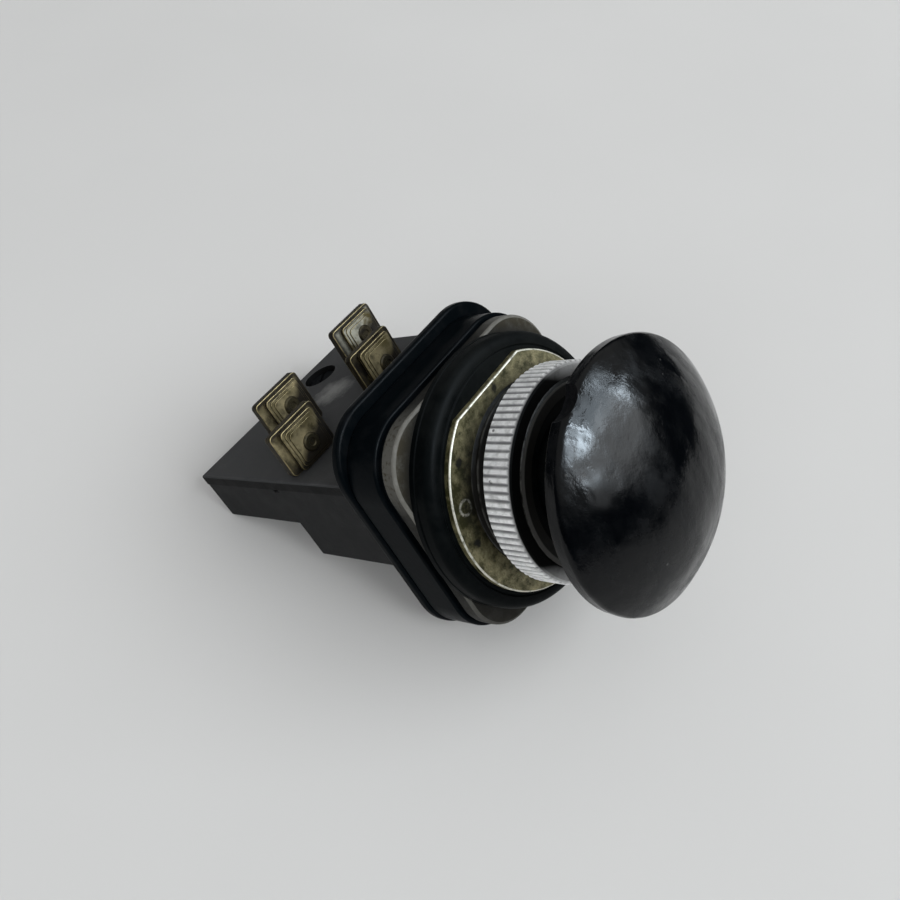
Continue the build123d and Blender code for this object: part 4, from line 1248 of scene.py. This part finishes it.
class PUSHBUTTON_OT_cover(Operator):
    """Cuts the slotted cover of the contact block and sinks its screw."""

    bl_idname = "pushbutton.cover"
    bl_label = "Block cover and its screw"

    def execute(self, context):
        block, terminal = context.scene.pushbutton_block, context.scene.pushbutton_terminal
        low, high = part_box("block_cover")
        bm = bmesh.new()
        add_box(bm, low, high)
        top = next(f for f in bm.faces if f.normal.z > 0.5)
        for face in bevel(bm, top.edges[:], block.block_edge, segments=3):
            face.material_index = 1
        # The cover's sides, the wall of its screw's sink among them, are painted almost black as shade
        piece = to_object(bm, "housing_cover",
                          phenolic_finish(block, "cover_phenolic", pale_share=0.7, painted_side_shade=0.15),
                          phenolic_finish(block, "cover_edge", pale_share=1.0))
        screw_low, screw_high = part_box("cover_screw")
        place = (screw_low + screw_high) / 2
        cuts = bmesh.new()
        for name in TERMINALS:
            plate_low, plate_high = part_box(name + "_terminal")
            across = (plate_low.x + plate_high.x) / 2
            half = terminal.tail_width / 2 + block.slot_gap
            add_box(cuts, (across - half, plate_low.y - block.slot_gap, low.z - MM),
                    (across + half, plate_high.y + block.slot_gap, high.z + MM))
        add_rod(cuts, (place.x, place.y, high.z - block.sink_depth), (place.x, place.y, high.z + MM),
                block.sink_radius, segments=64)
        combine(piece, cuts)
        cuts = bmesh.new()
        add_rod(cuts, (place.x, place.y, low.z - MM), (place.x, place.y, high.z), block.cover_screw_hole,
                HOLE_STEPS)
        combine(piece, cuts)
        present(piece, "operator", "block_phenolic", "block_cover")

        head = (screw_high.x - screw_low.x) / 2
        dark = plastic_finish("dark_screw", block.black, block.dust, low=0.7, high=0.9, shine=0.05)
        screw = turned_screw("sunk_screw", dark, head, block.cover_screw_head, block.cover_screw_shank,
                             screw_high.z - screw_low.z, terminal, block.cover_screw_slot, math.radians(35))
        screw.data.transform(Matrix.Translation((place.x, place.y, screw_high.z)) @ QUARTER_TURN)
        present(screw, "operator", "dark_screw", "cover_screw")
        return {"FINISHED"}


class PUSHBUTTON_OT_terminals(Operator):
    """Makes the four terminals, each with its wire clamp and its screw."""

    bl_idname = "pushbutton.terminals"
    bl_label = "Terminals, clamps and screws"

    def execute(self, context):
        sizes = context.scene.pushbutton_terminal
        edge = bronze_edge_finish(sizes)
        wall = bronze_wall_shade_finish(sizes)
        steel = metal_finish("plated_screw", sizes.plated, sizes.plated_dark)
        for order, name in enumerate(TERMINALS):
            share = PLATED_SHARE if name == PLATED_TERMINAL else BARE_SHARE
            screw_low, screw_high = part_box(name + "_screw")
            screw = (screw_low + screw_high) / 2
            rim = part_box(name + "_terminal")[1]
            # Stains of a slightly different scale on each piece, and slots that point different ways
            clamp_seed = 29.0 * order + 7.0
            plate_seed = 17.0 * order
            slot_angle = math.radians(20 + 40 * order)
            clamp_bronze = bronze_finish(sizes, name + "_clamp_bronze", share, clamp_seed, screw, rim)
            # That terminal's plate takes the dark wall finish as painted shade
            plate_bronze = wall
            if name != SHADED_TERMINAL:
                plate_bronze = bronze_finish(sizes, name + "_plate_bronze", share, plate_seed, screw, rim)
            self.make_plate(sizes, name, screw, (plate_bronze, edge, wall))
            self.make_clamp(sizes, name, screw, (clamp_bronze, edge, wall))
            self.make_screw(sizes, name, steel, slot_angle)
        return {"FINISHED"}

    def make_plate(self, sizes, name, screw, finishes):
        """Makes one terminal: a wide blade on the cover, with a tail that goes through it."""
        low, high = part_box(name + "_terminal")
        bm = bmesh.new()
        add_slab(bm, (low.x, low.y, sizes.blade_bottom), high, sizes.corner, sizes.edge,
                 corner_steps=4, edge_steps=2, wall_finish=2)
        plate = to_object(bm, name + "_plate", *finishes)
        tail = bmesh.new()
        half = sizes.tail_width / 2
        add_box(tail, (screw.x - half, low.y, low.z),
                (screw.x + half, high.y, sizes.blade_bottom + sizes.corner))
        combine(plate, tail, "UNION")
        hole = bmesh.new()
        add_rod(hole, (screw.x, low.y - MM, screw.z), (screw.x, high.y + MM, screw.z), sizes.screw_hole)
        combine(plate, hole)
        present(plate, "operator", "terminal_bronze", name + "_terminal")

    def make_clamp(self, sizes, name, screw, finishes):
        """Makes one wire clamp: a plate with two steps on its front."""
        low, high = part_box(name + "_clamp")
        front = high.y - sizes.clamp_plate
        step = (front - low.y) / 2
        bm = bmesh.new()
        add_slab(bm, (low.x, front, low.z), high, sizes.corner, sizes.edge,
                 corner_steps=4, edge_steps=2, wall_finish=2)
        for tier in (1, 2):
            inset = tier * sizes.clamp_step
            add_slab(bm, (low.x + inset, front - tier * step, low.z + inset),
                     (high.x - inset, front + sizes.step_overlap, high.z - inset),
                     sizes.corner, 0.5 * sizes.edge, corner_steps=4, edge_steps=2, wall_finish=2)
        clamp = fused(bm, name + "_saddle", *finishes)
        hole = bmesh.new()
        add_rod(hole, (screw.x, low.y - MM, screw.z), (screw.x, high.y + MM, screw.z), sizes.clamp_hole)
        combine(clamp, hole)
        present(clamp, "operator", "terminal_bronze", name + "_clamp")

    def make_screw(self, sizes, name, steel, slot_angle):
        """Turns one terminal screw, with its head behind the plate."""
        low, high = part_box(name + "_screw")
        place = (low + high) / 2
        head = (high.x - low.x) / 2
        screw = turned_screw(name + "_bolt", steel, head, sizes.head_height, sizes.shank, high.y - low.y,
                             sizes, sizes.slot_depth, slot_angle)
        screw.data.transform(Matrix.Translation((place.x, high.y, place.z)))
        present(screw, "operator", "plated_screw", name + "_screw")


class PUSHBUTTON_OT_screws(Operator):
    """Makes the long screws of the block and the short screws of its lip."""

    bl_idname = "pushbutton.screws"
    bl_label = "Block and base screws"

    def execute(self, context):
        sizes = context.scene.pushbutton_terminal
        steel = metal_finish("block_screw_steel", sizes.plated, sizes.plated_dark)
        heads = (("block_screws", sizes.block_screw_head), ("base_screws", sizes.base_screw_head))
        for node, head_height in heads:
            low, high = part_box(node)
            head = (high.z - low.z) / 2
            bm = bmesh.new()
            for index, (across, height) in enumerate(screw_pair(low, high, head)):
                one = turned_screw(node + str(index), steel, head, head_height, SHANK_SHARE * head,
                                   high.y - low.y, sizes, sizes.slot_depth, math.pi / 2)
                one.data.transform(Matrix.Translation((across, high.y, height)))
                bm.from_mesh(one.data)
                bpy.data.objects.remove(one)
            pair = to_object(bm, node + "_turned", steel)
            present(pair, "operator", "plated_screw", node)
        return {"FINISHED"}


class PUSHBUTTON_OT_springs(Operator):
    """Winds the coil springs, and gives the two with a joint meshes of their own."""

    bl_idname = "pushbutton.springs"
    bl_label = "Coil springs"

    def execute(self, context):
        sizes, inner = context.scene.pushbutton_spring, context.scene.pushbutton_inner
        steel = metal_finish("spring_steel", inner.spring, inner.spring_stained,
                             metallic=0.9, low=0.24, high=0.36)
        for node, body, wire, turns, joint in (
                ("return_spring", "operator", sizes.return_wire, sizes.return_turns, "button_press"),
                ("carrier_spring", "operator", sizes.carrier_wire, sizes.carrier_turns, "carrier_slide"),
                ("contact_spring", "carrier", sizes.contact_wire, sizes.contact_turns, None)):
            low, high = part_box(node)
            height = (low.z + high.z) / 2
            coil_radius = (high.x - low.x - wire) / 2
            rise = high.y - low.y - wire
            steps = round(COIL_STEPS * turns)
            bm = bmesh.new()
            bmesh.ops.create_circle(bm, segments=WIRE_SIDES, radius=wire / 2,
                                    matrix=Matrix.Translation((coil_radius, low.y + wire / 2, height)))
            bmesh.ops.spin(bm, geom=bm.verts[:] + bm.edges[:], cent=(0, 0, height), axis=AXIS,
                           dvec=(0, rise / steps, 0), angle=2 * math.pi * turns, steps=steps)
            bmesh.ops.holes_fill(bm, edges=[e for e in bm.edges if e.is_boundary])
            spring = to_object(bm, node + "_coil", steel)
            present(spring, body, "spring_steel", node)
            if joint:
                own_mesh(spring)
        return {"FINISHED"}


class PUSHBUTTON_OT_inner(Operator):
    """Gives the inner solids that stay as they are their finishes."""

    bl_idname = "pushbutton.inner"
    bl_label = "Inner pieces"

    def execute(self, context):
        collar, inner = context.scene.pushbutton_collar, context.scene.pushbutton_inner
        tips = ("bridge_tips", *(name + "_tip" for name in TERMINALS))
        finishes = (
            (plastic_finish("plunger_nylon", inner.plunger, inner.plunger_worn, 0.36, 0.52), ("plunger",)),
            (plastic_finish("carrier_nylon", inner.carrier, inner.carrier_stained), ("contact_carrier",)),
            (rubber_finish(collar, "seal_rubber", collar.seal_ring_pitch), ("shaft_seal",)),
            (metal_finish("clip_steel", inner.clip, inner.clip_stained), ("retaining_clip", "spring_washer")),
            (metal_finish("contact_copper", inner.copper, inner.copper_stained), ("bridge_contact",)),
            (metal_finish("contact_silver", inner.silver, inner.silver_stained), tips),
        )
        for finish, nodes in finishes:
            for node in nodes:
                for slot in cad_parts[node].material_slots:
                    slot.material = finish
        return {"FINISHED"}


class PUSHBUTTON_OT_stage(Operator):
    """Sets the pale table, the soft light and the camera."""

    bl_idname = "pushbutton.stage"
    bl_label = "Table, light and camera"

    def execute(self, context):
        scene, stage, block = context.scene, context.scene.pushbutton_stage, context.scene.pushbutton_block
        low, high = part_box("block_housing")
        # The part lies on the lip's lower edge and the block's lower rear edge
        front_foot = Vector((0, low.y + block.lip_thickness, low.z))
        rear_foot = Vector((0, high.y, block.rear_bottom))
        slope = rear_foot - front_foot
        tilt = math.atan2(slope.z, slope.y)
        table_turn = Matrix.Rotation(tilt, 3, "X")
        up = table_turn @ Vector((0, 0, 1))
        front = table_turn @ Vector((0, -1, 0))
        lie = Matrix.Translation((front_foot + rear_foot) / 2 - stage.table_gap * up) @ table_turn.to_4x4()

        bm = bmesh.new()
        bmesh.ops.create_grid(bm, x_segments=2, y_segments=2, size=stage.table_half, matrix=lie)
        table = to_object(bm, "table", self.table_finish(stage))
        if table.data.polygons[0].normal.dot(up) < 0:
            table.data.flip_normals()
        table.visible_shadow = False

        bm = bmesh.new()
        bmesh.ops.create_circle(bm, segments=64, radius=stage.flag_distance, matrix=lie)
        made = bmesh.ops.extrude_edge_only(bm, edges=bm.edges[:])["geom"]
        bmesh.ops.translate(bm, verts=verts_of(made), vec=up * stage.flag_height)
        flag = to_object(bm, "flag", self.flag_finish(stage, front_foot, up))
        flag.visible_camera = flag.visible_diffuse = flag.visible_shadow = flag.visible_transmission = False

        self.lamps(scene, stage, front, up)
        self.room(scene, stage)
        self.camera(scene, stage)
        scene.view_settings.view_transform = "Standard"
        return {"FINISHED"}

    def lamps(self, scene, stage, front, up):
        """Sets every lamp at the same distance, aimed at the part."""
        across = Vector((1, 0, 0))
        for name, azimuth, height, width, depth, light, lights, shines in LAMPS:
            turn, rise = math.radians(azimuth), math.radians(height)
            towards = front * math.cos(turn) + across * math.sin(turn)
            towards = towards * math.cos(rise) + up * math.sin(rise)
            lamp = bpy.data.lights.new(name, "AREA")
            lamp.shape = "RECTANGLE"
            lamp.size, lamp.size_y = width * stage.lamp_distance, depth * stage.lamp_distance
            lamp.energy = light * math.pi * lamp.size * lamp.size_y
            lamp.color = stage.daylight if lights else stage.sky
            holder = bpy.data.objects.new(name, lamp)
            holder.visible_diffuse = lights
            holder.visible_glossy = shines
            holder.matrix_world = (Matrix.Translation(towards * stage.lamp_distance)
                                   @ towards.to_track_quat("Z", "Y").to_matrix().to_4x4())
            scene.collection.objects.link(holder)

    def camera(self, scene, stage):
        """Sets the camera where the photograph was taken from."""
        right, top = Vector(stage.camera_right).normalized(), Vector(stage.camera_up).normalized()
        back = right.cross(top).normalized()
        top = back.cross(right)
        lens = bpy.data.cameras.new("camera")
        lens.lens = stage.lens
        lens.sensor_width = SENSOR_WIDTH
        lens.clip_start = NEAREST_SIGHT
        camera = bpy.data.objects.new("camera", lens)
        turn = Matrix((right, top, back)).transposed().to_4x4()
        camera.matrix_world = Matrix.Translation(stage.camera_place) @ turn
        scene.collection.objects.link(camera)
        scene.camera = camera

    def flag_finish(self, stage, foot, up):
        """A dark tone with a soft upper edge."""
        material = bpy.data.materials.new("flag_dark")
        material.use_nodes = True
        nodes, links = material.node_tree.nodes, material.node_tree.links
        nodes.clear()
        place = nodes.new("ShaderNodeTexCoord").outputs["Object"]
        height = nodes.new("ShaderNodeVectorMath")
        height.operation = "DOT_PRODUCT"
        links.new(place, height.inputs[0])
        height.inputs[1].default_value = up
        fade = nodes.new("ShaderNodeMapRange")
        links.new(height.outputs["Value"], fade.inputs["Value"])
        start, end = FLAG_FADE
        fade.inputs["From Min"].default_value = up.dot(foot) + start * stage.flag_height
        fade.inputs["From Max"].default_value = up.dot(foot) + end * stage.flag_height
        light = nodes.new("ShaderNodeEmission")
        light.inputs["Color"].default_value = (*stage.flag, 1.0)
        mix = nodes.new("ShaderNodeMixShader")
        links.new(fade.outputs[0], mix.inputs[0])
        links.new(light.outputs[0], mix.inputs[1])
        links.new(nodes.new("ShaderNodeBsdfTransparent").outputs[0], mix.inputs[2])
        links.new(mix.outputs[0], nodes.new("ShaderNodeOutputMaterial").inputs[0])
        return material

    def table_finish(self, stage):
        """Pale table top that can be seen only from above."""
        f = Finish("table_top", Specular_IOR_Level=0.0)
        cloud = f.noise(9.0, 3.0, 0.5)
        pale = tuple(stage.table)
        dull = tuple(TABLE_DULL * v for v in pale)
        f.dress(Base_Color=f.blend(f.level(cloud, 0.35, 0.65), pale, dull), Roughness=0.6)
        through = f.node("ShaderNodeBsdfTransparent").outputs[0]
        behind = f.node("ShaderNodeNewGeometry").outputs["Backfacing"]
        mix = f.node("ShaderNodeMixShader", {0: behind, 1: f.shader.outputs[0], 2: through})
        f.tree.links.new(mix.outputs[0], f.tree.nodes["Material Output"].inputs["Surface"])
        return f.material

    def room(self, scene, stage):
        """Soft light from all round, with a pale background."""
        world = bpy.data.worlds.new("room")
        world.use_nodes = True
        nodes, links = world.node_tree.nodes, world.node_tree.links
        path = nodes.new("ShaderNodeLightPath")
        seen = path.outputs["Is Camera Ray"]
        for ray in ("Is Glossy Ray", "Is Transmission Ray"):
            either = nodes.new("ShaderNodeMath")
            either.operation = "MAXIMUM"
            links.new(seen, either.inputs[0])
            links.new(path.outputs[ray], either.inputs[1])
            seen = either.outputs[0]
        mix = nodes.new("ShaderNodeMix")
        mix.data_type = "RGBA"
        links.new(seen, mix.inputs[0])
        mix.inputs[6].default_value = (*stage.room, 1.0)
        mix.inputs[7].default_value = (*stage.backdrop, 1.0)
        links.new(mix.outputs[2], nodes["Background"].inputs["Color"])
        scene.world = world


class PUSHBUTTON_PT_panel(Panel):
    """Lists the pieces in the sidebar."""

    bl_idname = "PUSHBUTTON_PT_panel"
    bl_label = "Pushbutton"
    bl_space_type = "VIEW_3D"
    bl_region_type = "UI"
    bl_category = "Pushbutton"

    def draw(self, context):
        for operator in OPERATORS:
            self.layout.operator(operator.bl_idname)


GROUPS = (("pushbutton_cap", CapSizes), ("pushbutton_collar", CollarSizes), ("pushbutton_block", BlockSizes),
          ("pushbutton_terminal", TerminalSizes), ("pushbutton_spring", SpringSizes),
          ("pushbutton_inner", InnerColours), ("pushbutton_stage", StageSettings))
OPERATORS = (PUSHBUTTON_OT_cap, PUSHBUTTON_OT_nut, PUSHBUTTON_OT_bushing, PUSHBUTTON_OT_seals,
             PUSHBUTTON_OT_body, PUSHBUTTON_OT_housing, PUSHBUTTON_OT_cover, PUSHBUTTON_OT_terminals,
             PUSHBUTTON_OT_screws, PUSHBUTTON_OT_springs, PUSHBUTTON_OT_inner, PUSHBUTTON_OT_stage)


def register():
    """Adds the groups of settings, the operators and the panel."""
    for name, group in GROUPS:
        bpy.utils.register_class(group)
        setattr(bpy.types.Scene, name, PointerProperty(type=group))
    for item in (*OPERATORS, PUSHBUTTON_PT_panel):
        bpy.utils.register_class(item)


def unregister():
    """Takes the panel, the operators and the groups of settings away again."""
    for item in (PUSHBUTTON_PT_panel, *reversed(OPERATORS)):
        bpy.utils.unregister_class(item)
    for name, group in reversed(GROUPS):
        delattr(bpy.types.Scene, name)
        bpy.utils.unregister_class(group)


def main():
    """Builds every piece and the stage."""
    register()
    for operator in OPERATORS:
        category, name = operator.bl_idname.split(".")
        getattr(getattr(bpy.ops, category), name)()


if __name__ == "__main__":
    main()
